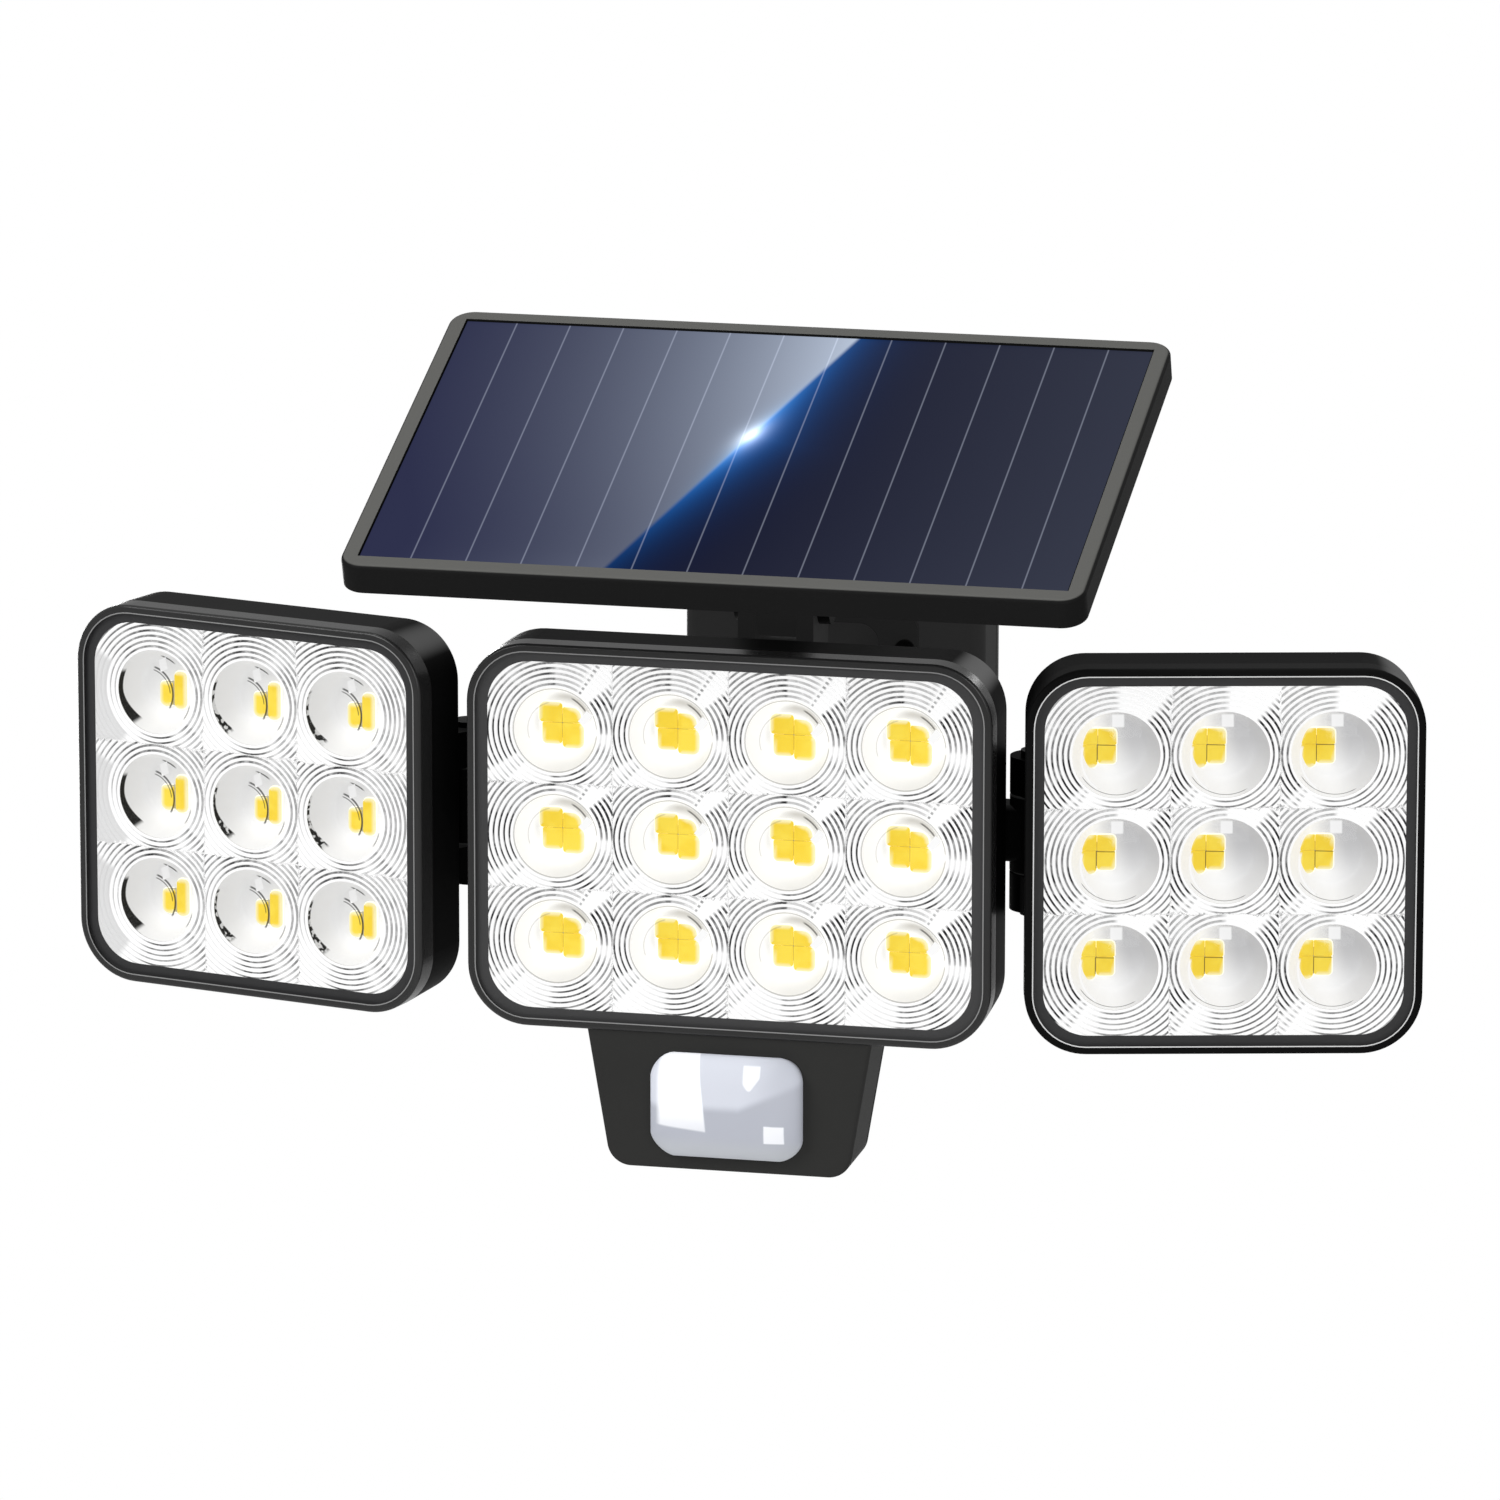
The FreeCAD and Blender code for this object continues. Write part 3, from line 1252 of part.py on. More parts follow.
def stem_screw_places():
    x = size.stem_plate_wide * HALF - size.stem_screw_inset
    y = size.stem_plate_long * HALF - size.stem_screw_inset
    return [(x * side, y * end) for side in (-1, 1) for end in (-1, 1)]


def make_stem():
    """Post between the hinge on the neck and the middle of the panel."""
    body = new_body("panel_stem", panel_frame_at)
    tongue = size.hinge_slot - size.tongue_side_gap * 2
    sketch = seen_from_side(body)
    circles(sketch, [(ZERO, ZERO)], size.tongue_radius)
    pad(body, sketch, tongue, both=True)
    sketch = seen_from_top(body, ZERO)
    rectangle(sketch, tongue, size.stem_deep)
    pad(body, sketch, size.stem_neck)
    sketch = seen_from_top(body, size.stem_neck)
    rounded(sketch, size.stem_wide, size.stem_deep, size.stem_corner)
    pad(body, sketch, stem_plate_low - size.stem_neck)
    sketch = seen_from_top(body, stem_plate_low, ZERO, panel_y)
    rounded(sketch, size.stem_plate_wide, size.stem_plate_long, size.stem_corner)
    pad(body, sketch, size.stem_plate_thick)
    sketch = seen_from_side(body)
    circles(sketch, [(ZERO, ZERO)], size.hinge_bolt + size.running_fit)
    pocket(body, sketch, tongue, both=True)
    sketch = seen_from_top(body, stem_plate_low, ZERO, panel_y)
    circles(sketch, stem_screw_places(), size.screw_radius + size.running_fit)
    pocket(body, sketch, size.stem_plate_thick, backwards=True)
    screws = []
    for x, y in stem_screw_places():
        long = size.stem_plate_thick + size.cover_thick
        screws.append(screw((x, panel_y + y, stem_plate_low), "z", size.screw_radius, long,
                            size.screw_head, size.screw_head_thick))
    group("stem_screws", panel_frame_at, screws)


# Motion sensor under the middle lamp

sensor_top = -size.head_high * HALF
sensor_bottom = sensor_top - size.sensor_high
sensor_front = size.sensor_back_step
sensor_rear = sensor_front + size.sensor_deep
lens_z = -size.lens_middle
sensor_slope = (size.sensor_top_wide - size.sensor_bottom_wide) * HALF / size.sensor_high
sensor_bosses = [(size.sensor_boss_out, lens_z + size.sensor_boss_up),
                 (-size.sensor_boss_out, lens_z + size.sensor_boss_up)]
sensor_posts = [(size.sensor_post_out, lens_z), (-size.sensor_post_out, lens_z)]


def sensor_outline(sketch, wall):
    """Housing outline drawn in by a wall."""
    top_half = size.sensor_top_wide * HALF - wall - sensor_slope * wall
    bottom_half = size.sensor_bottom_wide * HALF - wall + sensor_slope * wall
    polygon(sketch, ((-top_half, sensor_top - wall), (-bottom_half, sensor_bottom + wall),
                     (bottom_half, sensor_bottom + wall), (top_half, sensor_top - wall)))


def runs_back(edge):
    """Edges at the bottom corners of the housing, which run front to back."""
    box = edge.BoundBox
    narrow = 0.01
    return box.XLength < narrow and box.ZLength < narrow and box.ZMax < sensor_top.number - 1


def make_sensor_housing():
    body = new_body("sensor_housing", center_frame)
    sketch = facing(body, sensor_front)
    sensor_outline(sketch, ZERO)
    outside = pad(body, sketch, size.sensor_deep, backwards=True)
    corners = round_edges(body, outside, runs_back, size.sensor_corner)
    round_edges(body, corners, sensor_front_edge, size.sensor_edge)
    sketch = facing(body, sensor_rear)
    sensor_outline(sketch, size.sensor_wall)
    pocket(body, sketch, size.sensor_deep - size.sensor_wall, backwards=True)
    sketch = facing(body, sensor_front, ZERO, lens_z)
    gap = size.fit * 2
    rounded(sketch, size.lens_wide + gap, size.lens_high + gap, size.lens_corner + size.fit)
    pocket(body, sketch, size.sensor_wall)
    sketch = facing(body, sensor_front + size.sensor_wall)
    circles(sketch, sensor_bosses, size.sensor_boss)
    pad(body, sketch, size.sensor_deep - size.sensor_wall, backwards=True)
    sketch = facing(body, sensor_rear)
    circles(sketch, sensor_bosses, size.screw_radius + size.running_fit)
    pocket(body, sketch, size.screw_grip * 2, backwards=True)


def sensor_front_edge(edge):
    """Front edges of the housing below the line where it meets the lamp."""
    return flat_at("y", sensor_front)(edge) and edge.BoundBox.ZMin < sensor_top.number - 1


def make_sensor_cover():
    body = new_body("sensor_cover", center_frame)
    sketch = facing(body, sensor_rear)
    sensor_outline(sketch, ZERO)
    outside = pad(body, sketch, size.sensor_cover_thick, backwards=True)
    round_edges(body, outside, runs_back, size.sensor_corner)
    board_rear = size.sensor_board_back + size.sensor_board_thick
    sketch = facing(body, sensor_rear)
    circles(sketch, sensor_posts, size.sensor_post)
    pad(body, sketch, sensor_rear - board_rear)
    sketch = facing(body, sensor_rear)
    circles(sketch, sensor_bosses, size.screw_radius + size.running_fit)
    pocket(body, sketch, size.sensor_cover_thick)
    screws = []
    rear = sensor_rear + size.sensor_cover_thick
    for x, z in sensor_bosses:
        long = size.sensor_cover_thick + size.screw_grip
        screws.append(screw((x, rear, z), "-y", size.screw_radius, long, size.screw_head,
                            size.screw_head_thick))
    group("sensor_screws", center_frame, screws)


def make_sensor_lens():
    """Bulging milky lens: a rounded block cut by a lying barrel, with a flange behind."""
    half = size.lens_wide * HALF
    bulge = size.lens_bulge
    reach_back = sensor_front + size.sensor_wall
    low = (-half, sensor_front - bulge, lens_z - size.lens_high * HALF)
    whole = block(low, (size.lens_wide, bulge + size.sensor_wall, size.lens_high))
    radius = (half * half + bulge * bulge) / (bulge * 2)
    start = (ZERO, sensor_front - bulge + radius, lens_z - size.lens_high * HALF)
    barrel = cylinder(radius, size.lens_high, start, "z")
    bulged = doc.addObject("Part::Common", "bulged")
    bulged.Base = whole
    bulged.Tool = barrel
    doc.recompute()
    rounded_block = doc.addObject("Part::Fillet", "rounded_block")
    rounded_block.Base = bulged
    radius_now = size.lens_corner.number
    near = 0.01
    rounded_block.Edges = [(number, radius_now, radius_now)
                           for number, edge in enumerate(bulged.Shape.Edges, start=1)
                           if edge.BoundBox.XLength < near and edge.BoundBox.ZLength < near]
    flange_wide = size.lens_wide + size.lens_flange * 2
    flange_high = size.lens_high + size.lens_flange * 2
    low = (-flange_wide * HALF, reach_back, lens_z - flange_high * HALF)
    flange = block(low, (flange_wide, size.lens_flange_thick, flange_high))
    finish(fused([rounded_block, flange]), "sensor_lens", center_frame)


def make_sensor_board():
    body = new_body("sensor_board", center_frame)
    sketch = facing(body, size.sensor_board_back, ZERO, lens_z)
    rectangle(sketch, size.sensor_board_wide, size.sensor_board_high)
    pad(body, sketch, size.sensor_board_thick, backwards=True)
    start = (ZERO, size.sensor_board_back, lens_z)
    can = cylinder(size.detector_radius, size.detector_long, start, "-y")
    start = (size.photocell_out, size.sensor_board_back, lens_z)
    cell = cylinder(size.photocell_radius, size.photocell_long, start, "-y")
    group("detectors", center_frame, [can, cell])


make_wall_plate()
make_box_seal()
make_box_shell()
make_box_screws()
make_main_board()
make_button()
make_batteries()
make_neck()
make_neck_screws()
make_neck_cover()
make_hinge_bolt()
make_panel_frame()
make_sheet("panel_glass", glass_low, size.glass_thick)
make_cells()
make_sheet("panel_backing", backing_low, size.backing_thick)
make_panel_back()
make_stem()
make_center()
make_sensor_housing()
make_sensor_cover()
make_sensor_lens()
make_sensor_board()
make_side("left", -1)
make_side("right", 1)
doc.recompute()

# Checks before anything is written

for item in doc.Objects:
    for word in ("Invalid", "Error"):
        if word in item.State:
            raise RuntimeError("%s is %s" % (item.Name, word))
for cut in cuts:
    before = cut.BaseFeature.Shape.Volume
    if before - cut.Shape.Volume < 0.1:
        raise RuntimeError("%s removed nothing" % cut.Name)
os.makedirs("parts", exist_ok=True)
for item in parts:
    if item.Shape.isNull() or not item.Shape.isValid():
        raise RuntimeError("%s has no valid shape" % item.Label)
for item in parts:
    item.Shape.exportStep("parts/%s.step" % item.Label)
    print("%-24s solids %2d  volume %10.1f" % (item.Label, len(item.Shape.Solids), item.Shape.Volume))
print(len(parts), "sub-parts")
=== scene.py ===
import json
import math

import bmesh
import bpy
from mathutils import Matrix, Vector


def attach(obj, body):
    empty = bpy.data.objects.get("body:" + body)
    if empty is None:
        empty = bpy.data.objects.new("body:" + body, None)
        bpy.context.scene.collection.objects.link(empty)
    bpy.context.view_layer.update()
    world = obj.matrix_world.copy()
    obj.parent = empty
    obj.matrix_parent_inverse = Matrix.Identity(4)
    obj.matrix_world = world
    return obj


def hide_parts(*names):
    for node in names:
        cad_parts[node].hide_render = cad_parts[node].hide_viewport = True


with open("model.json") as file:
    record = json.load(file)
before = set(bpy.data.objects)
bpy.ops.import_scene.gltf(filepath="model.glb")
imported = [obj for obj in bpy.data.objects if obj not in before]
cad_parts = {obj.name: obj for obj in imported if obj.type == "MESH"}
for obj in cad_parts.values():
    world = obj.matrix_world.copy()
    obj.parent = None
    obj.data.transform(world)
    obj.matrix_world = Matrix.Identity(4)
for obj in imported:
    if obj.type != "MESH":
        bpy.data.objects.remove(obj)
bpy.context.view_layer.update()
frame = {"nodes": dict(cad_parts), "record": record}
nodes = frame["nodes"]
scene = bpy.context.scene
MM = 0.001
RIGHT = (1.0, 0.0, 0.0)
UP = (0.0, 0.0, 1.0)


# Camera, fitted to the photo

TARGET = Vector((5.52, -138.0, 24.33)) * MM
DISTANCE = 2628.2 * MM
AZIMUTH = math.radians(12.8)
ELEVATION = math.radians(13.38)
ROLL = math.radians(0.05)
FILM_WIDTH = 36.0
FOCAL_LENGTH = 261.8
CLIP_NEAR = 0.05
CLIP_FAR = 50.0


def make_camera():
    data = bpy.data.cameras.new("camera")
    data.sensor_width = FILM_WIDTH
    data.lens = FOCAL_LENGTH
    data.clip_start = CLIP_NEAR
    data.clip_end = CLIP_FAR
    camera = bpy.data.objects.new("camera", data)
    scene.collection.objects.link(camera)
    back = Vector((math.sin(AZIMUTH) * math.cos(ELEVATION),
                   -math.cos(AZIMUTH) * math.cos(ELEVATION),
                   math.sin(ELEVATION)))
    camera.location = TARGET + back * DISTANCE
    camera.rotation_mode = "QUATERNION"
    roll = Matrix.Rotation(ROLL, 4, "Z").to_quaternion()
    camera.rotation_quaternion = (-back).to_track_quat("-Z", "Y") @ roll
    scene.camera = camera


scene.view_settings.view_transform = "Standard"
make_camera()


# Shader helpers

class Nodes:
    """Short way to write a material's node tree."""

    def __init__(self, name):
        self.material = bpy.data.materials.new(name)
        self.material.use_nodes = True
        self.tree = self.material.node_tree
        self.tree.nodes.clear()
        self.output = self.tree.nodes.new("ShaderNodeOutputMaterial")

    def add(self, kind, **settings):
        node = self.tree.nodes.new(kind)
        for key, value in settings.items():
            setattr(node, key, value)
        return node

    def put(self, socket, value):
        if isinstance(value, bpy.types.NodeSocket):
            self.tree.links.new(value, socket)
        else:
            socket.default_value = value

    def math(self, operation, first, second=0.0, third=0.0):
        node = self.add("ShaderNodeMath", operation=operation)
        for socket, value in zip(node.inputs, (first, second, third)):
            self.put(socket, value)
        return node.outputs[0]

    def times(self, *factors):
        result = factors[0]
        for factor in factors[1:]:
            result = self.math("MULTIPLY", result, factor)
        return result

    def line(self, slope, value, start):
        """slope * value + start"""
        return self.math("MULTIPLY_ADD", value, slope, start)

    def most(self, values):
        result = values[0]
        for value in values[1:]:
            result = self.math("MAXIMUM", result, value)
        return result

    def fading(self, distance, length):
        """1 at no distance, and less by the factor e for each length."""
        return self.math("EXPONENT", self.times(distance, -1 / length))

    def mix(self, factor, first, second):
        node = self.add("ShaderNodeMix", data_type="RGBA")
        self.put(node.inputs[0], factor)
        self.put(node.inputs[6], first)
        self.put(node.inputs[7], second)
        return node.outputs[2]

    def smooth(self, value, low, high):
        """0 below low and 1 above high, smoothly; falls instead where low is above high."""
        node = self.add("ShaderNodeMapRange", interpolation_type="SMOOTHSTEP")
        self.put(node.inputs[0], value)
        node.inputs[1].default_value = min(low, high)
        node.inputs[2].default_value = max(low, high)
        if low > high:
            node.inputs[3].default_value = 1.0
            node.inputs[4].default_value = 0.0
        return node.outputs[0]

    def between(self, value, low, high, soft):
        """1 from low to high with soft ends."""
        return self.times(self.smooth(value, low - soft, low + soft),
                          self.smooth(value, high + soft, high - soft))

    def ramp(self, value, stops):
        """Grey level against a value from 0 to 1, straight between the stops."""
        node = self.add("ShaderNodeValToRGB")
        points = node.color_ramp.elements
        while len(points) < len(stops):
            points.new(0.5)
        for point, (place, level) in zip(points, stops):
            point.position = place
            point.color = grey(level)
        self.put(node.inputs[0], value)
        return node.outputs[0]

    def noise(self, vector, scale, detail=2.0):
        node = self.add("ShaderNodeTexNoise")
        self.put(node.inputs["Vector"], vector)
        node.inputs["Scale"].default_value = scale
        node.inputs["Detail"].default_value = detail
        return node.outputs[0]

    def bump(self, height, distance, strength):
        node = self.add("ShaderNodeBump")
        node.inputs["Strength"].default_value = strength
        node.inputs["Distance"].default_value = distance
        self.put(node.inputs["Height"], height)
        return node.outputs[0]

    def place(self):
        return self.add("ShaderNodeTexCoord").outputs["Object"]

    def stored(self, name):
        """What a piece's points carry under this name."""
        return self.add("ShaderNodeAttribute", attribute_name=name).outputs

    def split(self, vector):
        node = self.add("ShaderNodeSeparateXYZ")
        self.put(node.inputs[0], vector)
        return node.outputs

    def along(self, vector, way, start):
        """Distance in mm from start along a direction, for a vector in metres."""
        less = self.add("ShaderNodeVectorMath", operation="SUBTRACT")
        self.put(less.inputs[0], vector)
        less.inputs[1].default_value = tuple(value * MM for value in start)
        node = self.add("ShaderNodeVectorMath", operation="DOT_PRODUCT")
        self.put(node.inputs[0], less.outputs[0])
        node.inputs[1].default_value = tuple(value / MM for value in way)
        return node.outputs["Value"]

    def facing(self, way):
        """How far the surface faces a direction in the world, 1 when straight at it."""
        normal = self.add("ShaderNodeNewGeometry").outputs["Normal"]
        node = self.add("ShaderNodeVectorMath", operation="DOT_PRODUCT")
        self.put(node.inputs[0], normal)
        node.inputs[1].default_value = Vector(way).normalized()
        return node.outputs["Value"]

    def round_place(self, x, y):
        """Radius, and angle as a share of a turn from +x."""
        radius = self.math("SQRT", self.line(x, x, self.times(y, y)))
        angle = self.math("FRACT", self.line(1 / (2 * math.pi), self.math("ARCTAN2", y, x), 1.0))
        return radius, angle

    def box(self, x, y, middle, half, turn=0.0, soft=0.15):
        """1 inside a rectangle turned by some degrees."""
        cos, sin = math.cos(math.radians(turn)), math.sin(math.radians(turn))
        dx = self.math("SUBTRACT", x, middle[0])
        dy = self.math("SUBTRACT", y, middle[1])
        along = self.line(cos, dx, self.times(dy, sin))
        across = self.line(-sin, dx, self.times(dy, cos))
        return self.times(self.between(along, -half[0], half[0], soft),
                          self.between(across, -half[1], half[1], soft))

    def arc(self, x, y, middle, radius, width, start, end):
        """1 on a thin arc, angles in degrees from +x."""
        dx = self.math("SUBTRACT", x, middle[0])
        dy = self.math("SUBTRACT", y, middle[1])
        far, angle = self.round_place(dx, dy)
        off = self.math("ABSOLUTE", self.math("SUBTRACT", far, radius))
        sweep = self.math("FRACT", self.math("SUBTRACT", angle, (start % 360) / 360 - 1.0))
        return self.times(self.smooth(off, width * 0.5, width * 0.2),
                          self.between(sweep, 0.01, (end - start) / 360, 0.01))

    def principled(self, color, rough, **inputs):
        node = self.add("ShaderNodeBsdfPrincipled")
        self.put(node.inputs["Base Color"], color)
        self.put(node.inputs["Roughness"], rough)
        for key, value in inputs.items():
            self.put(node.inputs[key.replace("_", " ")], value)
        self.put(self.output.inputs["Surface"], node.outputs[0])

    def drawn(self, color, lit, rough, painted_glow, specular=0.1):
        """Surface whose color shows mostly by a painted glow of its own; lit is the lamps' share."""
        self.principled(self.mix(lit, grey(0.0), color), rough, Specular_IOR_Level=specular,
                        Emission_Color=color, Emission_Strength=painted_glow)


def grey(level):
    return (level, level, level, 1.0)


def scaled(color, factor):
    return tuple(min(1.0, channel * factor) for channel in color) + (1.0,)


# Plastics and metals

GRAIN_SCALE = 2500.0
GRAIN_DEPTH = 0.04 * MM
GRAIN_STRENGTH = 0.25
CLOUD_SCALE = 60.0
METAL_SCALE = 1500.0
PLAIN_SCALE = 200.0
SHELL_ROUGH = 0.38
# Way that the shells' painted corner sheen faces
PAINTED_SHEEN_WAY = (0.62, 0.1, 0.78)


def grain(n):
    return n.noise(n.place(), GRAIN_SCALE, 1.0)


def plastic(name, color, rough, specular=0.5, painted_glow=0.0):
    """Moulded plastic with a fine grain; a painted glow lifts it out of deep shade."""
    n = Nodes(name)
    fine = grain(n)
    tone = n.mix(n.noise(n.place(), CLOUD_SCALE), scaled(color, 0.9), scaled(color, 1.1))
    n.principled(tone, n.line(0.08, fine, rough - 0.04), Specular_IOR_Level=specular,
                 Normal=n.bump(fine, GRAIN_DEPTH, GRAIN_STRENGTH), Emission_Color=grey(painted_glow),
                 Emission_Strength=1.0)
    return n.material


def shell_material(name, level, top, painted_sheen):
    """Black shell; a painted glow lights its top a little, and a painted sheen its upper right corner."""
    n = Nodes(name)
    fine = grain(n)
    upward = n.times(n.smooth(n.facing(UP), 0.6, 1.0), top)
    corner = n.times(n.smooth(n.facing(PAINTED_SHEEN_WAY), 0.90, 1.0), painted_sheen)
    n.principled(grey(level), n.line(0.08, fine, SHELL_ROUGH), Specular_IOR_Level=0.008,
                 Normal=n.bump(fine, GRAIN_DEPTH, GRAIN_STRENGTH), Emission_Color=grey(1.0),
                 Emission_Strength=n.math("ADD", upward, corner))
    return n.material


def metal(name, color, rough):
    n = Nodes(name)
    fine = n.noise(n.place(), METAL_SCALE, 1.0)
    n.principled(color + (1.0,), n.line(0.15, fine, rough), Metallic=1.0)
    return n.material


def plain(name, color, rough, **inputs):
    n = Nodes(name)
    cloud = n.noise(n.place(), PLAIN_SCALE)
    n.principled(n.mix(cloud, scaled(color, 0.97), scaled(color, 1.03)), rough, **inputs)
    return n.material


# Solar panel

# Its face is a tilted plane, so its materials work in the plane's own directions: x and back up
# the slope, in mm from its middle.
PANEL_TILT = math.radians(19.2)
PANEL_UP = (0.0, -math.sin(PANEL_TILT), math.cos(PANEL_TILT))
PANEL_BACK = (0.0, math.cos(PANEL_TILT), math.sin(PANEL_TILT))
PANEL_MIDDLE = (0.0, -103.0, 89.8)
GLASS_NEAR = -50.0
GLASS_DEPTH = 102.0
FIRST_LINE = -74.0
LINE_PITCH = 13.6
LINE_RANGE = (-76.0, 78.0)
LINE_HALF = 0.05
LINE_FADE = 0.30

# Painted reflection of what the glass mirrors: a room left of a slant, with a glint on it. The
# room's and the cells' painted levels are a slope and a start by the height up the panel.
SLANT_FOOT = (-25.8, -54.4)
SLANT_TURN = math.radians(70.9)
GLINT = (-4.3, 8.6)
HEIGHT_POWER = 1.5
ROOM_LEVEL = (0.34, 0.095)
ROOM_LIMITS = (0.021, 0.5)
ROOM_FADE = 33.0
CELLS_LEVEL = (0.008, -0.001)
CELLS_RIGHTWARD = 0.0003
GLOW_FADE = (5.5, 38.0)
EDGE_FADE = (1.6, 11.0)
SPARK_FADE = 1.9
SPARK_LEVEL = 1.7

# Red, green and blue: slope and start of the room's and of the cells' painted level, and the
# strength of the painted glow beside the slant, of its painted edge and of the thin lines
GLASS_CHANNELS = (
    {"room": (1.0, 0.0), "cells": (1.0, 0.0), "painted_glow": 0.01, "edge": 0.12, "lines": 0.13},
    {"room": (1.15, 0.0), "cells": (1.12, 0.001), "painted_glow": 0.17, "edge": 0.42, "lines": 0.14},
    {"room": (1.34, 0.036), "cells": (1.32, 0.018), "painted_glow": 0.66, "edge": 0.80, "lines": 0.17},
)


def panel_frame_material():
    """Matt frame whose upward face is painted lighter, a painted highlight for the light it catches."""
    n = Nodes("panel_frame")
    top = n.smooth(n.facing(PANEL_UP), 0.75, 0.97)
    fine = grain(n)
    color = n.mix(top, grey(0.009), (0.085, 0.085, 0.080, 1.0))
    n.principled(color, n.line(0.1, fine, 0.45), Specular_IOR_Level=n.line(0.15, top, 0.03),
                 Normal=n.bump(fine, GRAIN_DEPTH, 0.2))
    return n.material


def cell_material():
    """Dark blue cells."""
    n = Nodes("cell")
    cloud = n.noise(n.place(), 40.0)
    n.principled(n.mix(cloud, (0.020, 0.021, 0.050, 1.0), (0.026, 0.029, 0.070, 1.0)), 0.5)
    return n.material


def panel_lines(n, x):
    """Thin lines between the strips of cells."""
    step = n.math("FRACT", n.line(1 / LINE_PITCH, x, 0.5 - FIRST_LINE / LINE_PITCH))
    near = n.times(n.math("ABSOLUTE", n.math("SUBTRACT", step, 0.5)), LINE_PITCH)
    return n.times(n.smooth(near, LINE_FADE, LINE_HALF), n.between(x, *LINE_RANGE, 0.1))


def slant_place(n, x, back):
    """How far left of the slant a point lies, and how far along it from the glint."""
    cos, sin = math.cos(SLANT_TURN), math.sin(SLANT_TURN)
    left = n.line(-sin, n.math("SUBTRACT", x, SLANT_FOOT[0]),
                  n.times(n.math("SUBTRACT", back, SLANT_FOOT[1]), cos))
    along = n.line(cos, n.math("SUBTRACT", x, GLINT[0]),
                   n.times(n.math("SUBTRACT", back, GLINT[1]), sin))
    return left, n.math("ABSOLUTE", along)


def panel_glass_material():
    """Dark glass: cells with light lines between them, and a painted reflection of a bright room left of
    a slant.
    """
    n = Nodes("panel_glass")
    place = n.place()
    x = n.along(place, RIGHT, PANEL_MIDDLE)
    back = n.along(place, PANEL_BACK, PANEL_MIDDLE)
    left, along = slant_place(n, x, back)
    right = n.math("MAXIMUM", n.times(left, -1.0), 0.0)
    side = n.smooth(left, -0.9, 0.7)
    share = n.math("MAXIMUM", n.line(1 / GLASS_DEPTH, back, -GLASS_NEAR / GLASS_DEPTH), 0.0)
    height = n.math("POWER", share, HEIGHT_POWER)
    room = n.times(n.line(ROOM_LEVEL[0], height, ROOM_LEVEL[1]), n.fading(left, ROOM_FADE))
    room = n.math("MINIMUM", n.math("MAXIMUM", room, ROOM_LIMITS[0]), ROOM_LIMITS[1])
    cells = n.line(CELLS_RIGHTWARD, right, n.line(CELLS_LEVEL[0], height, CELLS_LEVEL[1]))
    painted_glow = n.times(n.fading(right, GLOW_FADE[0]), n.fading(along, GLOW_FADE[1]), n.line(-1.0, side, 1.0))
    edge = n.times(n.fading(n.math("ABSOLUTE", left), EDGE_FADE[0]), n.fading(along, EDGE_FADE[1]))
    across = n.times(left, 1.5)
    far = n.math("SQRT", n.line(across, across, n.times(along, along, 0.45)))
    spark = n.times(n.fading(far, SPARK_FADE), SPARK_LEVEL)
    lines = panel_lines(n, x)
    front = n.smooth(n.facing(PANEL_UP), 0.80, 0.95)
    join = n.add("ShaderNodeCombineColor")
    for socket, channel in zip(join.inputs, GLASS_CHANNELS):
        bright = n.line(channel["room"][0], room, channel["room"][1])
        dark = n.line(channel["cells"][0], cells, channel["cells"][1])
        value = n.line(side, n.math("SUBTRACT", bright, dark), dark)
        for part, gain in ((painted_glow, channel["painted_glow"]), (edge, channel["edge"]), (spark, 1.0),
                           (lines, channel["lines"])):
            value = n.line(gain, part, value)
        n.put(socket, n.times(n.math("MINIMUM", value, 0.98), front))
    n.drawn(join.outputs[0], lit=0.08, rough=0.4, painted_glow=0.95, specular=0.03)
    return n.material


# Lamp optics

RING_START = 10.6
RING_PITCH = 1.32
RING_DEEP = 0.35
GROOVE_SHARE = (0.49, 0.87)
GROOVE_SOFT = 0.07
PATCH_SCALE = 260.0
BREAK_SCALE = 1100.0
SHEET_LEVEL = 0.88
BARE_LEVEL = 0.62
BOWL_WHITE = 0.93
DOME_ROUGH = 0.08
DOME_BENDING = 1.35
DOME_GLOSS = 0.6
MARK_LEVEL = 0.03
MARK_STRENGTH = 0.85
GLINT_LEVEL = 0.97

# Painted reflection: how dark the moulded rings look, by direction in degrees from +x; it stands
# in for what a bending lens sheet would pick up from a bright room.
RING_SECTORS = {
    "center": ((0, 0.45), (8, 0.75), (38, 0.90), (42, 0.0), (55, 0.0), (57, 0.8), (59, 0.0), (63, 0.3),
               (89, 0.35), (91, 0.85), (118, 0.55), (150, 0.65), (165, 0.95), (210, 1.0), (214, 0.05),
               (225, 0.5), (228, 0.05), (262, 0.15), (268, 0.7), (305, 0.85), (314, 0.35), (335, 0.6),
               (348, 0.05), (357, 0.05)),
    "left": ((0, 0.45), (30, 0.55), (58, 0.35), (80, 0.55), (100, 0.85), (124, 0.75), (150, 0.5),
             (180, 0.35), (214, 0.1), (245, 0.15), (262, 0.8), (285, 0.8), (300, 0.15), (318, 0.6),
             (322, 0.2), (335, 0.4)),
    "right": ((0, 0.75), (20, 0.95), (44, 0.9), (50, 0.0), (86, 0.0), (92, 0.4), (140, 0.45),
              (175, 0.7), (200, 1.0), (222, 1.0), (227, 0.0), (232, 0.5), (236, 0.0), (252, 0.1),
              (262, 0.6), (290, 0.7), (320, 0.6), (345, 0.8)),
}


def lens_place(n):
    """A point's place from its own lens, x and z in mm, and the lens's column."""
    return n.split(n.stored("lens")["Vector"])


def bare_corner(n, radius, angle, column):
    """1 on the smooth, greyer sheet beside the lenses of the first column."""
    return n.times(n.smooth(radius, 13.6, 14.0), n.between(angle, 0.42, 0.65, 0.01),
                   n.smooth(column, 0.6, 0.4))


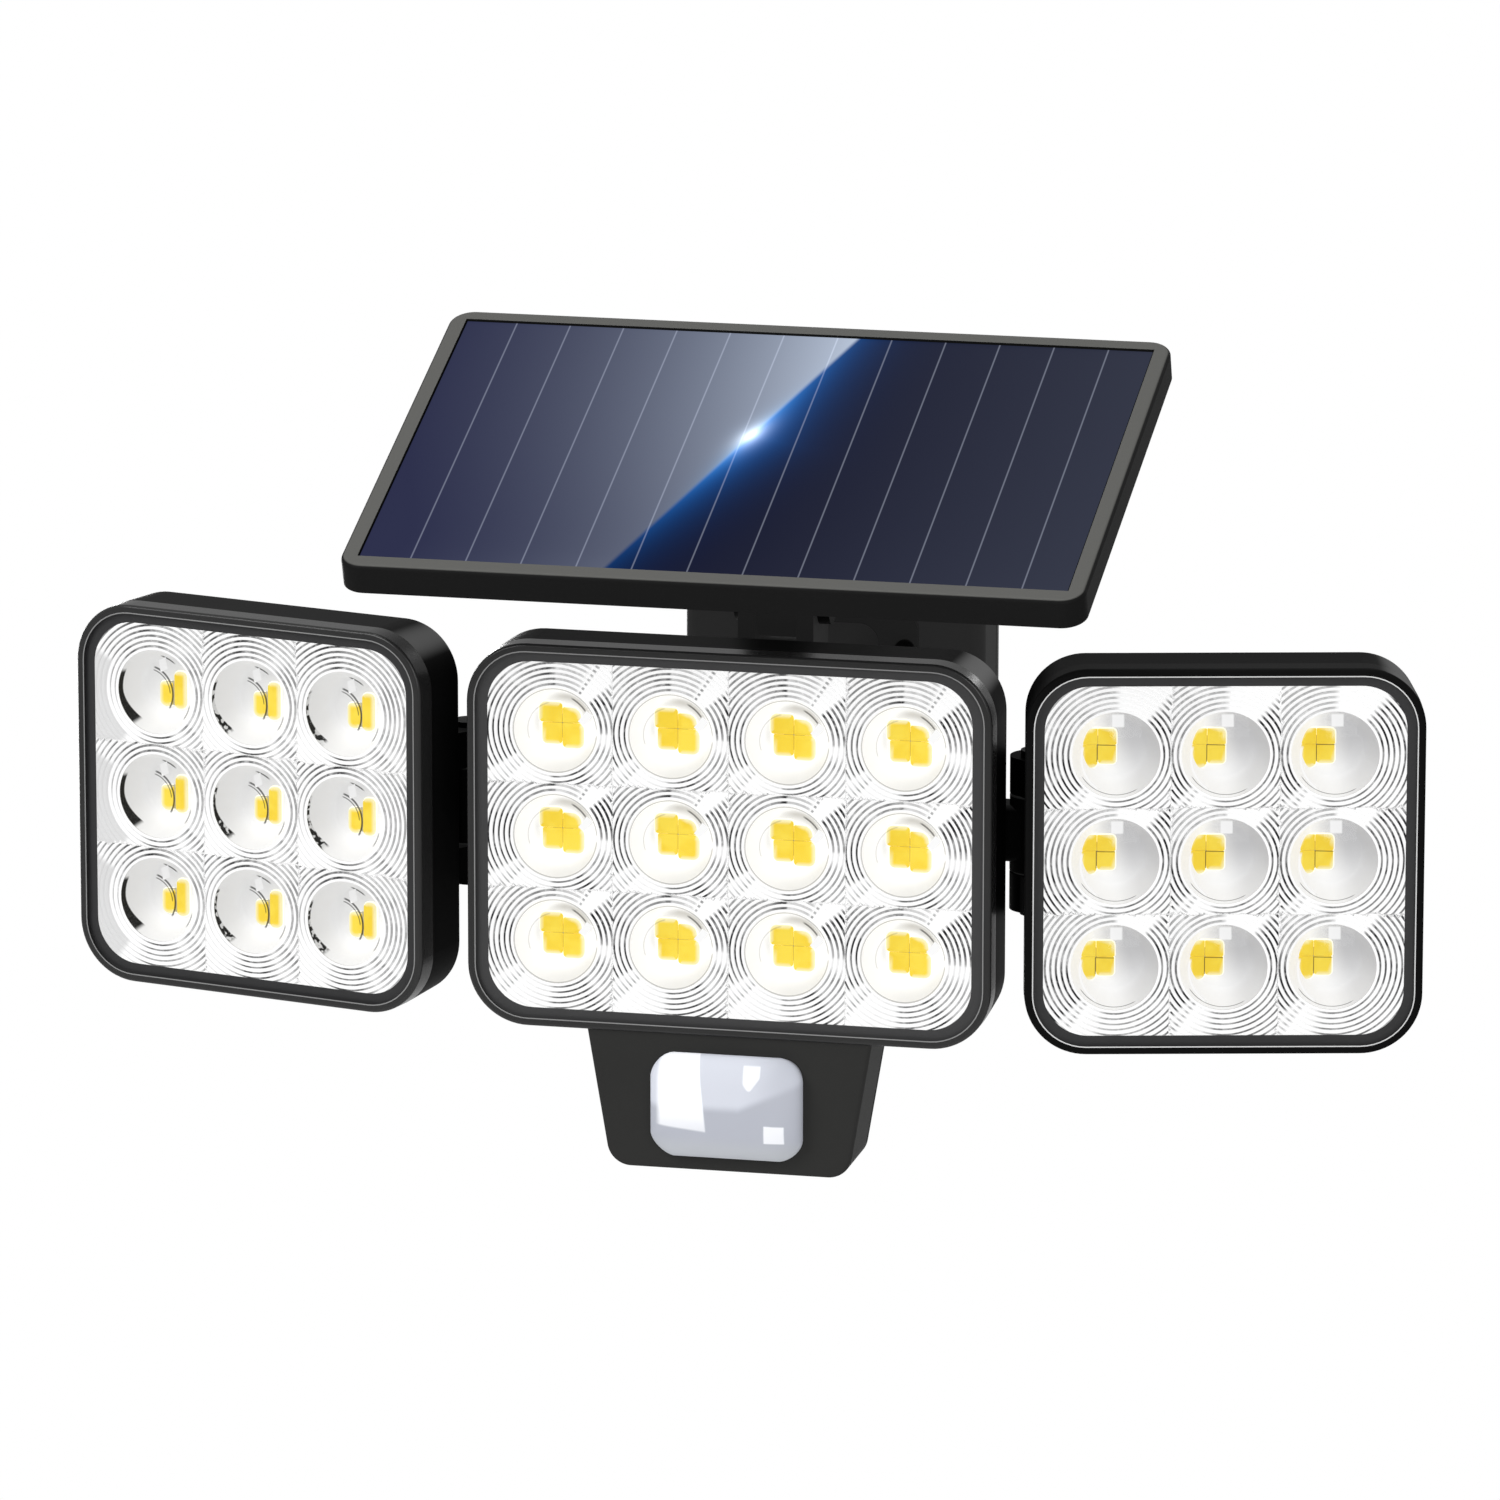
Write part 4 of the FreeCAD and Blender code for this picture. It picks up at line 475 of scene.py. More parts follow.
def ring_material(name):
    """Moulded lens sheet: concentric grooves drawn by distance from each lens, their dark lines a painted
    reflection.
    """
    n = Nodes(name + "_rings")
    x, z, column = lens_place(n)
    radius, angle = n.round_place(x, z)
    saw = n.math("FRACT", n.line(1 / RING_PITCH, radius, -RING_START / RING_PITCH))
    groove = n.between(saw, *GROOVE_SHARE, GROOVE_SOFT)
    stops = [(degrees / 360, level) for degrees, level in RING_SECTORS[name]]
    sector = n.ramp(angle, stops + [(1.0, stops[0][1])])
    place = n.place()
    patch = n.smooth(n.noise(place, PATCH_SCALE, 3.0), 0.30, 0.62)
    broken = n.smooth(n.noise(place, BREAK_SCALE, 1.0), 0.30, 0.50)
    uneven = n.times(sector, n.line(0.45, patch, 0.55), n.line(0.30, broken, 0.70))
    strength = n.math("POWER", uneven, 0.8)
    sheet = grey(SHEET_LEVEL)
    if name == "left":
        bare = bare_corner(n, radius, angle, column)
        strength = n.times(strength, n.line(-1.0, bare, 1.0))
        sheet = n.mix(bare, sheet, grey(BARE_LEVEL))
    dark = n.times(groove, n.math("MINIMUM", n.times(strength, 1.15), 1.0))
    color = n.mix(dark, sheet, (0.010, 0.010, 0.012, 1.0))
    n.drawn(color, lit=0.5, rough=0.35, painted_glow=0.64)
    return n.material


def center_bowl(n):
    """Painted shade: a grey halo and its trail round the chips, and a grey foot."""
    x, z, _ = lens_place(n)
    radius, angle = n.round_place(x, z)
    halo = n.times(n.between(radius, 5.6, 7.6, 1.1), n.between(angle, 0.04, 0.30, 0.06))
    trail = n.times(n.between(radius, 6.0, 6.9, 0.8), n.between(angle, 0.30, 0.56, 0.06))
    below = n.times(n.smooth(radius, 6.5, 10.0), n.between(angle, 0.70, 0.94, 0.08))
    color = n.mix(n.times(halo, 0.75), grey(BOWL_WHITE), (0.52, 0.50, 0.45, 1.0))
    color = n.mix(n.times(trail, 0.45), color, (0.60, 0.59, 0.56, 1.0))
    return n.mix(n.times(below, 0.45), color, (0.62, 0.62, 0.60, 1.0))


def left_bowl(n):
    """Painted shade: grey on its left side, with a dark crescent that breaks up in the further columns.
    """
    x, z, column = lens_place(n)
    radius, angle = n.round_place(x, z)
    sweep = n.between(angle, 0.43, 0.645, 0.012)
    further = n.smooth(column, 0.2, 0.8)
    rim = n.line(0.20, further, n.line(-0.55, n.smooth(angle, 0.50, 0.66), 10.15))
    broken = n.smooth(n.noise(n.place(), 700.0, 1.0), 0.42, 0.52)
    crescent = n.times(sweep, n.smooth(n.math("SUBTRACT", radius, rim), -0.06, 0.06))
    crescent = n.times(crescent, n.line(n.line(-0.8, broken, 0.8), n.times(further, -1.0), 1.0))
    slope = n.smooth(n.math("SUBTRACT", x, z), -6.0, 9.0)
    color = n.mix(slope, grey(0.74), grey(BOWL_WHITE))
    return n.mix(crescent, color, grey(0.004))


def right_bowl(n):
    """Softly shaded towards its upper right."""
    x, z, _ = lens_place(n)
    shade = n.times(n.smooth(n.line(0.3, z, x), -4.0, 5.0), n.line(0.5, n.smooth(z, -9.0, 4.0), 0.5))
    return n.mix(shade, grey(BOWL_WHITE), (0.52, 0.52, 0.53, 1.0))


# Painted shade in each head's bowls, and how strongly they glow by themselves
BOWL_COLORS = {"center": center_bowl, "left": left_bowl, "right": right_bowl}
BOWL_PAINTED_GLOW = {"center": 0.70, "left": 0.62, "right": 0.62}


def bowl_material(name):
    """White bowls with painted soft greys, the shade that the clear lenses in front throw on them."""
    n = Nodes(name + "_bowl")
    n.drawn(BOWL_COLORS[name](n), lit=0.45, rough=0.4, painted_glow=BOWL_PAINTED_GLOW[name])
    return n.material


def center_marks(n, x, z):
    """Painted dark reflections and painted glint of the middle lamp's lenses."""
    marks = n.most([n.times(n.arc(x, z, (0.0, 0.0), 9.3, 0.5, 30, 62), 0.85),
                    n.times(n.arc(x, z, (0.0, 0.0), 10.35, 0.4, 0, 355), 0.45),
                    n.times(n.arc(x, z, (0.4, 0.4), 6.9, 0.5, 100, 200), 0.25)])
    glint = n.box(x, z, (7.7, 3.5), (0.95, 1.6), -38.0)
    return marks, glint


def left_marks(n, x, z):
    """Painted dark reflections and painted glint of the left lamp's lenses."""
    marks = n.most([n.arc(x, z, (-1.0, 0.2), 6.55, 0.60, -35, 78),
                    n.times(n.arc(x, z, (-1.0, 0.2), 5.85, 0.40, 0, 78), 0.8),
                    n.arc(x, z, (0.0, 0.0), 9.6, 0.4, 52, 78),
                    n.times(n.arc(x, z, (0.0, 0.0), 9.9, 0.4, -40, -15), 0.7)])
    glint = n.times(n.box(x, z, (2.6, 7.4), (1.0, 1.5), 20.0), 0.5)
    return marks, glint


def right_marks(n, x, z):
    """Painted dark reflections and painted glints of the right lamp's lenses."""
    marks = n.most([n.box(x, z, (-2.5, 2.86), (2.25, 0.09), soft=0.06),
                    n.box(x, z, (-4.7, 0.8), (0.09, 2.1), soft=0.06),
                    n.times(n.arc(x, z, (0.0, 0.0), 9.7, 0.3, -150, -60), 0.7)])
    glint = n.most([n.times(n.box(x, z, (0.3, 8.6), (1.5, 1.5), soft=0.3), 0.8),
                    n.times(n.arc(x, z, (1.0, -0.5), 9.4, 0.9, 160, 235), 0.8)])
    return marks, glint


# Painted glints and dark reflections of each head's lenses
DOME_MARKS = {"center": center_marks, "left": left_marks, "right": right_marks}


def dome_material(name):
    """Clear lens without bending of light, with small painted glints and painted dark reflections."""
    n = Nodes(name + "_dome")
    x, z, _ = lens_place(n)
    marks, glint = DOME_MARKS[name](n, x, z)
    clear = n.add("ShaderNodeBsdfTransparent")
    gloss = n.add("ShaderNodeBsdfGlossy")
    gloss.inputs["Roughness"].default_value = DOME_ROUGH
    fresnel = n.add("ShaderNodeFresnel")
    fresnel.inputs["IOR"].default_value = DOME_BENDING
    drawn = n.add("ShaderNodeEmission")
    bright = n.math("MINIMUM", n.times(glint, 4.0), 1.0)
    n.put(drawn.inputs["Color"], n.mix(bright, grey(MARK_LEVEL), grey(GLINT_LEVEL)))
    skin = n.add("ShaderNodeMixShader")
    n.put(skin.inputs[0], n.times(fresnel.outputs[0], DOME_GLOSS))
    n.put(skin.inputs[1], clear.outputs[0])
    n.put(skin.inputs[2], gloss.outputs[0])
    mix = n.add("ShaderNodeMixShader")
    n.put(mix.inputs[0], n.math("MAXIMUM", glint, n.times(marks, MARK_STRENGTH)))
    n.put(mix.inputs[1], skin.outputs[0])
    n.put(mix.inputs[2], drawn.outputs[0])
    n.put(n.output.inputs["Surface"], mix.outputs[0])
    return n.material


def chip_material():
    """Yellow light chips, paler towards their outer rims."""
    n = Nodes("chips")
    cloud = n.noise(n.place(), 180.0)
    color = n.mix(n.smooth(cloud, 0.35, 0.65), (0.87, 0.62, 0.045, 1.0), (0.90, 0.68, 0.07, 1.0))
    color = n.mix(n.stored("core")["Fac"], (0.93, 0.85, 0.48, 1.0), color)
    n.drawn(color, lit=0.4, rough=0.5, painted_glow=0.68)
    return n.material


# Motion sensor lens

SENSOR_X, SENSOR_Z = 0.0, -64.9
SENSOR_MIDDLE = (SENSOR_X, 0.0, SENSOR_Z)
SENSOR_FRONT = -137.0
SENSOR_HALF = (18.3, 12.3)
SENSOR_CORNER = 5.0
SENSOR_CORNER_STEPS = 8
SENSOR_BULGE = 5.6
SENSOR_FOOT = 2.0
SENSOR_STEPS = 24
SENSOR_POWER = 0.30
SENSOR_CORNER_DROP = 0.8
SENSOR_SWELL = (1.0, 1.5)
SENSOR_FREE = 2.0
# Colours of the milky lens's painted reflections: its mirrored windows, its upper and lower parts and the
# floor
SENSOR_BRIGHT = (0.84, 0.85, 0.88, 1.0)
SENSOR_UPPER = (0.55, 0.57, 0.63, 1.0)
SENSOR_LOWER = (0.38, 0.395, 0.445, 1.0)
SENSOR_FLOOR = (0.46, 0.48, 0.49, 1.0)


def upper_half(n, x, z):
    """1 above a bent edge, fading to the right; x and z are mm from the lens's middle."""
    edge = n.line(0.45, n.math("MAXIMUM", n.math("SUBTRACT", x, 3.5), 0.0), 0.3)
    return n.times(n.smooth(n.math("SUBTRACT", z, edge), -1.3, 1.3),
                   n.line(-0.6, n.smooth(x, 4.0, 16.0), 1.0))


def painted_window_reflections(n, x, z):
    """Painted reflections of windows: the large one on the left, weaker at its foot, a small pointed one
    and a square.
    """
    large = n.times(n.smooth(n.line(0.10, z, x), -4.9, -5.4), n.smooth(n.line(0.10, x, z), -6.5, -5.8),
                    n.smooth(x, -17.4, -15.6))
    large = n.times(large, n.line(0.50, n.smooth(z, -9.0, 2.0), 0.50))
    slant = n.times(n.math("ABSOLUTE", n.math("SUBTRACT", x, 6.2)), -1.4)
    small = n.times(n.between(x, 4.7, 8.9, 0.25), n.between(z, 5.2, 11.2, 0.3),
                    n.smooth(n.math("ADD", z, slant), 4.2, 5.2))
    square = n.box(x, z, (12.4, -5.6), (2.5, 2.2), soft=0.2)
    return n.most([large, n.times(small, 0.8), n.times(square, 0.8)])


def sensor_lens_material():
    """Milky lens with painted reflections: a lighter upper part, the floor low down and the window shapes
    that it mirrors.
    """
    n = Nodes("milky")
    place = n.place()
    x = n.along(place, RIGHT, SENSOR_MIDDLE)
    z = n.along(place, UP, SENSOR_MIDDLE)
    color = n.mix(upper_half(n, x, z), SENSOR_LOWER, SENSOR_UPPER)
    low = n.smooth(z, -6.0, -11.5)
    color = n.mix(n.times(low, 0.5), color, SENSOR_FLOOR)
    color = n.mix(painted_window_reflections(n, x, z), color, SENSOR_BRIGHT)
    n.principled(color, 0.45, Specular_IOR_Level=0.1, Emission_Color=color, Emission_Strength=0.22)
    return n.material


# Materials by name

HALO_COLOR = (0.93, 0.90, 0.74)
# One black plastic for every shell; the copies differ in painted light: their base levels, the painted
# glow on top and the painted corner sheen. The darkest copy is painted shade on the right head.
BLACK = shell_material("black_shell", level=0.006, top=0.006, painted_sheen=0.08)
CENTER_BLACK = shell_material("center_shell", level=0.004, top=0.001, painted_sheen=0.10)
SHADED_RIGHT_SHELL = shell_material("shaded_right_shell", level=0.0012, top=0.0, painted_sheen=0.08)
RING = plastic("front_ring", (0.021, 0.021, 0.021), 0.25, specular=0.3)
# The painted glow of these plastics stands in for fill light in their deep shade.
UNDER = plastic("neck", (0.010, 0.010, 0.010), 0.5, specular=0.1, painted_glow=0.010)
BOX = plastic("wall_box", (0.012, 0.012, 0.012), 0.5, specular=0.03, painted_glow=0.016)
# Painted highlight lines round the lip of each head; the right head's is brighter.
PAINTED_EDGE_HIGHLIGHT = plain("painted_ring_edge_highlight", (0.16, 0.16, 0.16), 0.5, Emission_Color=grey(0.16), Emission_Strength=0.4)
BRIGHT_PAINTED_EDGE_HIGHLIGHT = plain("bright_painted_ring_edge_highlight", (0.4, 0.4, 0.4), 0.5, Emission_Color=grey(0.42),
                    Emission_Strength=0.6)
BAND = plain("border_band", (0.026, 0.026, 0.027), 0.40, Specular_IOR_Level=0.3)
# Lighter copy of the border band for the middle head: painted light.
CENTER_BAND = plain("center_border_band", (0.042, 0.042, 0.043), 0.40, Specular_IOR_Level=0.3)
PANEL_FRAME = panel_frame_material()
# Painted glow again: fill light for parts in deep shade.
DARK = plastic("dark_plastic", (0.012, 0.012, 0.012), 0.5, specular=0.2, painted_glow=0.009)
HOUSING = plastic("sensor_housing", (0.019, 0.019, 0.018), 0.5, specular=0.03, painted_glow=0.011)
RUBBER = plastic("rubber", (0.02, 0.02, 0.02), 0.8)
STEEL = metal("steel", (0.55, 0.55, 0.56), 0.25)
DARK_STEEL = metal("blackened_steel", (0.012, 0.012, 0.012), 0.5)
CHIP = chip_material()
CHIP_BASE = plain("chip_base", (0.45, 0.42, 0.30), 0.5)
# Pale rim round each chip, glowing by itself: painted light.
CHIP_HALO = plain("chip_halo", HALO_COLOR, 0.5, Emission_Color=HALO_COLOR + (1.0,),
                  Emission_Strength=0.5)
BOWL = plain("bowl", (0.86, 0.86, 0.84), 0.35)
BOARD = plain("board", (0.75, 0.75, 0.70), 0.6)
CELL = cell_material()
BACKING = plain("backing", (0.20, 0.20, 0.34), 0.5)
GLASS = panel_glass_material()
MILKY = sensor_lens_material()
SLEEVE = plain("sleeve", (0.10, 0.25, 0.45), 0.4)
WASHER = plain("washer", (0.7, 0.7, 0.68), 0.5)
RINGS = {name: ring_material(name) for name in RING_SECTORS}
BOWLS = {name: bowl_material(name) for name in RING_SECTORS}
DOMES = {name: dome_material(name) for name in RING_SECTORS}

SLOT_MATERIALS = {
    "black_plastic": BLACK, "front_ring_plastic": RING, "panel_frame_plastic": PANEL_FRAME,
    "dark_plastic": DARK, "seal_rubber": RUBBER, "button_rubber": RUBBER, "lens_plastic": DOMES["center"],
    "reflector_plastic": BOWL, "board": BOARD, "light_chips": CHIP, "steel": STEEL,
    "washer_plastic": WASHER, "battery_sleeve": SLEEVE, "panel_glass": GLASS, "cell_blue": CELL,
    "backing": BACKING, "milky_plastic": MILKY,
}
# right_shell takes the darkest shell copy, painted shade, and center_shell its own copy with less painted
# top light and a stronger painted sheen.
NODE_MATERIALS = {
    "panel_hinge_bolt": DARK_STEEL, "stem_screws": DARK_STEEL, "neck_screws": DARK_STEEL,
    "left_swivel_pin": DARK_STEEL, "right_swivel_pin": DARK_STEEL, "sensor_housing": HOUSING,
    "left_swivel_washers": DARK, "right_swivel_washers": DARK, "right_shell": SHADED_RIGHT_SHELL,
    "right_bezel": BLACK, "box_shell": BOX, "neck": UNDER, "panel_stem": UNDER, "panel_back": UNDER,
    "center_shell": CENTER_BLACK,
}
slots = {row["node"]: row["material_slot"] for row in frame["record"]["subparts"]}
for name, item in nodes.items():
    item.data.materials.clear()
    item.data.materials.append(NODE_MATERIALS.get(name, SLOT_MATERIALS[slots[name]]))


# Mesh helpers

def finish_mesh(bm, name, materials):
    """Turns millimetres into metres and makes a mesh."""
    bmesh.ops.scale(bm, vec=(MM, MM, MM), verts=bm.verts)
    bmesh.ops.recalc_face_normals(bm, faces=bm.faces)
    mesh = bpy.data.meshes.new(name)
    bm.to_mesh(mesh)
    bm.free()
    for material in materials:
        mesh.materials.append(material)
    return mesh


def add_piece(name, mesh, body, place, replaced):
    item = bpy.data.objects.new(name, mesh)
    scene.collection.objects.link(item)
    item.matrix_world = place
    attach(item, body)
    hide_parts(replaced)


def rounded_loop(bm, x, z, half_x, half_z, corners, y, steps=4):
    """Vertices round a rectangle square to the y axis; its corners are one radius or four."""
    radii = corners if isinstance(corners, tuple) else (corners,) * 4
    loop = []
    for quarter, (sx, sz) in enumerate(((1, 1), (-1, 1), (-1, -1), (1, -1))):
        radius = radii[quarter]
        for step in range(steps + 1):
            angle = math.pi / 2 * (quarter + step / steps)
            px = x + sx * (half_x - radius) + math.cos(angle) * radius
            pz = z + sz * (half_z - radius) + math.sin(angle) * radius
            loop.append(bm.verts.new((px, y, pz)))
    return loop


def bridge(bm, here, there, slot, smooth=True):
    """Faces between two closed loops of the same length."""
    for index in range(len(here)):
        after = (index + 1) % len(here)
        face = bm.faces.new((here[index], there[index], there[after], here[after]))
        face.material_index = slot
        face.smooth = smooth


def bridge_all(bm, loops, slot):
    for here, there in zip(loops, loops[1:]):
        bridge(bm, here, there, slot)


# Lamp heads

SWIVEL_X = {-1: 72.6, 1: 69.4}
SWIVEL_Y = -106.0
INSET = 44.2
SET_BACK = 32.0
TURN = 13.8
FRONT_Y = -138.0
HEAD_HALF_Z = 47.7
HEAD_CORNER = 15.0
BORDER = 4.5
BORDER_STEPS = 12
WINDOW_CORNER = 11.0
LIP = 1.8
EDGE_LINE = 0.28
EDGE_LINE_Y = -0.03
LENS_ROWS = 3
LENS_PITCH = 26.3
SHEET_Y = 1.2
BAND_Y = SHEET_Y + 0.02
SHEET_SPOKES = 96
SHEET_REACH = 26.0
SAME_PLACE = 1e-5
TINY = 1e-9
DOME_RISE = 1.8
DOME_STEPS = 8
DOME_SIDES = 48
BOWL_CENTER = 0.001
BOWL_FLOOR = 3.5
BOWL_BASE = 6.9
BOWL_BACK = 9.6
BOWL_FRONT = 1.4
BOWL_STEPS = 10
BOWL_SIDES = 64
BOWL_FLARE = 0.7
CHIP_FRONT = 8.6
CHIP_BACK = 9.3
CHIP_BEVEL = 0.15
CHIP_SOFT = 1.1
CHIP_LEAST_CORNER = 0.02
CHIP_GAP_REACH = 0.5
CHIP_HALO_WIDTH = 0.25
CHIP_HALO_FRONT = 9.15
CHIP_HALO_BACK = 9.5
CHIP_BASE_HALF = (2.6, 3.0)
CHIP_BASE_CORNERS = (1.0, 1.0, 1.0, 1.0)
CHIP_BASE_DOWN = 0.8
CHIP_BASE_FRONT = 9.0
CHIP_BASE_BACK = 9.7

# Material slots of the lens sheets and of the chips
RING_SLOT, BAND_SLOT, DOME_SLOT, LINE_SLOT = range(4)
CHIP_SLOT, BASE_SLOT, HALO_SLOT = range(3)


def head_place(x, y, turn):
    """Places a piece that is drawn about the middle of a lamp's front, y going back."""
    return Matrix.Translation(Vector((x, y, 0)) * MM) @ Matrix.Rotation(math.radians(turn), 4, "Z")


def side_place(side):
    turn = math.radians(TURN * side)
    across = INSET * side
    x = SWIVEL_X[side] * side + across * math.cos(turn) + SET_BACK * math.sin(turn)
    y = SWIVEL_Y + across * math.sin(turn) - SET_BACK * math.cos(turn)
    return head_place(x, y, TURN * side)


class Head:
    """A lamp head's optics: window, lens grid and where its light chips appear."""

    def __init__(self, name, body, place, half_x, border_x, columns, pitch_x, chips_at, chips):
        self.name = name
        self.body = body
        self.place = place
        self.half_x = half_x
        self.window_x = half_x - border_x
        self.window_z = HEAD_HALF_Z - BORDER
        self.columns = columns
        self.pitch_x = pitch_x
        self.chips_at = chips_at
        self.chips = chips

    def lenses(self):
        for column in range(self.columns):
            for row in range(LENS_ROWS):
                x = (column - (self.columns - 1) / 2) * self.pitch_x
                z = (row - (LENS_ROWS - 1) / 2) * LENS_PITCH
                yield column, row, x, z

    def cell(self, column, row, x, z):
        """Low and high corners of a lens's cell; border cells reach the window's edge."""
        low = [x - self.pitch_x / 2, z - LENS_PITCH / 2]
        high = [x + self.pitch_x / 2, z + LENS_PITCH / 2]
        if column == 0:
            low[0] = -self.window_x
        if column == self.columns - 1:
            high[0] = self.window_x
        if row == 0:
            low[1] = -self.window_z
        if row == LENS_ROWS - 1:
            high[1] = self.window_z
        return low, high


def crossed_chips(gap, chips):
    """Four chips round two crossing gaps: top left, top right, bottom left and bottom right.

    Each is given by how far it reaches sideways and up or down from the crossing, and by its
    corner radii at top right, top left, bottom left and bottom right.
    """
    top_left, top_right, bottom_left, bottom_right = chips
    return ((-top_left[0], -gap, gap, top_left[1], top_left[2]),
            (gap, top_right[0], gap, top_right[1], top_right[2]),
            (-bottom_left[0], -gap, -bottom_left[1], -gap, bottom_left[2]),
            (gap, bottom_right[0], -bottom_right[1], -gap, bottom_right[2]))


# Chips of each light: left, right, bottom, top and corners
CENTER_CHIPS = crossed_chips(0.06, ((5.8, 5.0, (1.0, 1.5, 0.9, 0.2)), (4.6, 3.8, (2.4, 0.3, 0.2, 0.3)),
                                    (5.0, 5.3, (0.2, 0.3, 1.2, 0.9)), (5.3, 6.2, (1.6, 0.2, 1.0, 1.6))))
RIGHT_CHIPS = crossed_chips(0.05, ((3.7, 3.9, (0.2, 2.0, 0.3, 0.2)), (4.5, 3.9, (1.1, 0.2, 0.2, 0.3)),
                                   (4.0, 5.7, (0.2, 0.3, 1.5, 1.5)), (4.4, 4.7, (0.3, 0.2, 0.9, 0.9))))
LEFT_CHIPS = ((-3.8, -0.3, -4.2, 2.0, (0.6, 1.2, 1.7, 1.2)), (0.25, 3.6, -4.5, 4.8, (1.3, 1.3, 1.2, 1.5)))

HEADS = (
    Head("center", body="mount", place=head_place(0, FRONT_Y, 0), half_x=65.0, border_x=5.0, columns=4,
         pitch_x=28.76, chips_at=(0.0, 0.2), chips=CENTER_CHIPS),
    Head("left", body="left_head", place=side_place(-1), half_x=48.0, border_x=BORDER, columns=3,
         pitch_x=LENS_PITCH, chips_at=(0.7, -1.0), chips=LEFT_CHIPS),
    Head("right", body="right_head", place=side_place(1), half_x=48.0, border_x=BORDER, columns=3,
         pitch_x=LENS_PITCH, chips_at=(-4.1, 0.8), chips=RIGHT_CHIPS),
)


def reach(x, z, angle, low, high, head):
    """Distance from a lens to the edge of its cell, the window's round corners included."""
    cos, sin = math.cos(angle), math.sin(angle)
    steps = []
    if abs(cos) > TINY:
        steps.append(((high[0] if cos > 0 else low[0]) - x) / cos)
    if abs(sin) > TINY:
        steps.append(((high[1] if sin > 0 else low[1]) - z) / sin)
    far = min(steps)
    px, pz = x + cos * far, z + sin * far
    cx = math.copysign(head.window_x - WINDOW_CORNER, px)
    cz = math.copysign(head.window_z - WINDOW_CORNER, pz)
    if abs(px) > abs(cx) and abs(pz) > abs(cz):
        dx, dz = x - cx, z - cz
        along = dx * cos + dz * sin
        inside = along * along - (dx * dx + dz * dz - WINDOW_CORNER ** 2)
        if inside > 0:
            far = min(far, -along + math.sqrt(inside))
    return far


def ring_profile():
    """Radii and depths of the grooves, from the lens outwards."""
    points = [(RING_START, 0.0)]
    count = 0
    while points[-1][0] < SHEET_REACH:
        start = RING_START + RING_PITCH * count
        for share, depth in ((0.15, -0.2), (0.55, -0.4), (0.75, 1.0), (1.0, 0.0)):
            points.append((start + RING_PITCH * share, RING_DEEP * depth))
        count += 1
    return points


def add_rings(bm, lens, head, column, row, x, z):
    """Grooved cell round one lens."""
    low, high = head.cell(column, row, x, z)
    corners = [math.atan2(cz - z, cx - x) % (2 * math.pi)
               for cx in (low[0], high[0]) for cz in (low[1], high[1])]
    angles = sorted([2 * math.pi * index / SHEET_SPOKES for index in range(SHEET_SPOKES)] + corners)
    spokes = []
    for angle in angles:
        far = reach(x, z, angle, low, high, head)
        spoke = []
        for radius, depth in ring_profile():
            ended = radius >= far
            reached = min(radius, far)
            dx, dz = math.cos(angle) * reached, math.sin(angle) * reached
            vert = bm.verts.new((x + dx, SHEET_Y + (0.0 if ended else depth), z + dz))
            vert[lens] = (dx, dz, column)
            spoke.append((vert, ended))
        spokes.append(spoke)
    for here, there in zip(spokes, spokes[1:] + spokes[:1]):
        for step in range(len(here) - 1):
            if here[step][1] and there[step][1]:
                break
            face = bm.faces.new((here[step][0], here[step + 1][0], there[step + 1][0], there[step][0]))
            face.material_index = RING_SLOT


def lens_circle(bm, lens, column, x, z, radius, y, sides):
    """Circle about a lens whose points carry their place from it."""
    loop = []
    for index in range(sides):
        angle = 2 * math.pi * index / sides
        dx, dz = radius * math.cos(angle), radius * math.sin(angle)
        vert = bm.verts.new((x + dx, y, z + dz))
        vert[lens] = (dx, dz, column)
        loop.append(vert)
    return loop


def add_dome(bm, lens, column, x, z):
    """Clear round lens in the middle of a cell."""
    tip = bm.verts.new((x, SHEET_Y - DOME_RISE, z))
    tip[lens] = (0.0, 0.0, column)
    loops = []
    for step in range(1, DOME_STEPS + 1):
        radius = RING_START * math.sin(math.pi / 2 * step / DOME_STEPS)
        rise = DOME_RISE * (1 - (radius / RING_START) ** 2)
        loops.append(lens_circle(bm, lens, column, x, z, radius, SHEET_Y - rise, DOME_SIDES))
    for index in range(DOME_SIDES):
        face = bm.faces.new((tip, loops[0][index], loops[0][(index + 1) % DOME_SIDES]))
        face.smooth = True
        face.material_index = DOME_SLOT
    bridge_all(bm, loops, DOME_SLOT)


def border_loop(bm, head, inset, y):
    """A head's outline, drawn in by an inset."""
    return rounded_loop(bm, 0, 0, head.half_x - inset, HEAD_HALF_Z - inset, HEAD_CORNER - inset, y,
                        BORDER_STEPS)


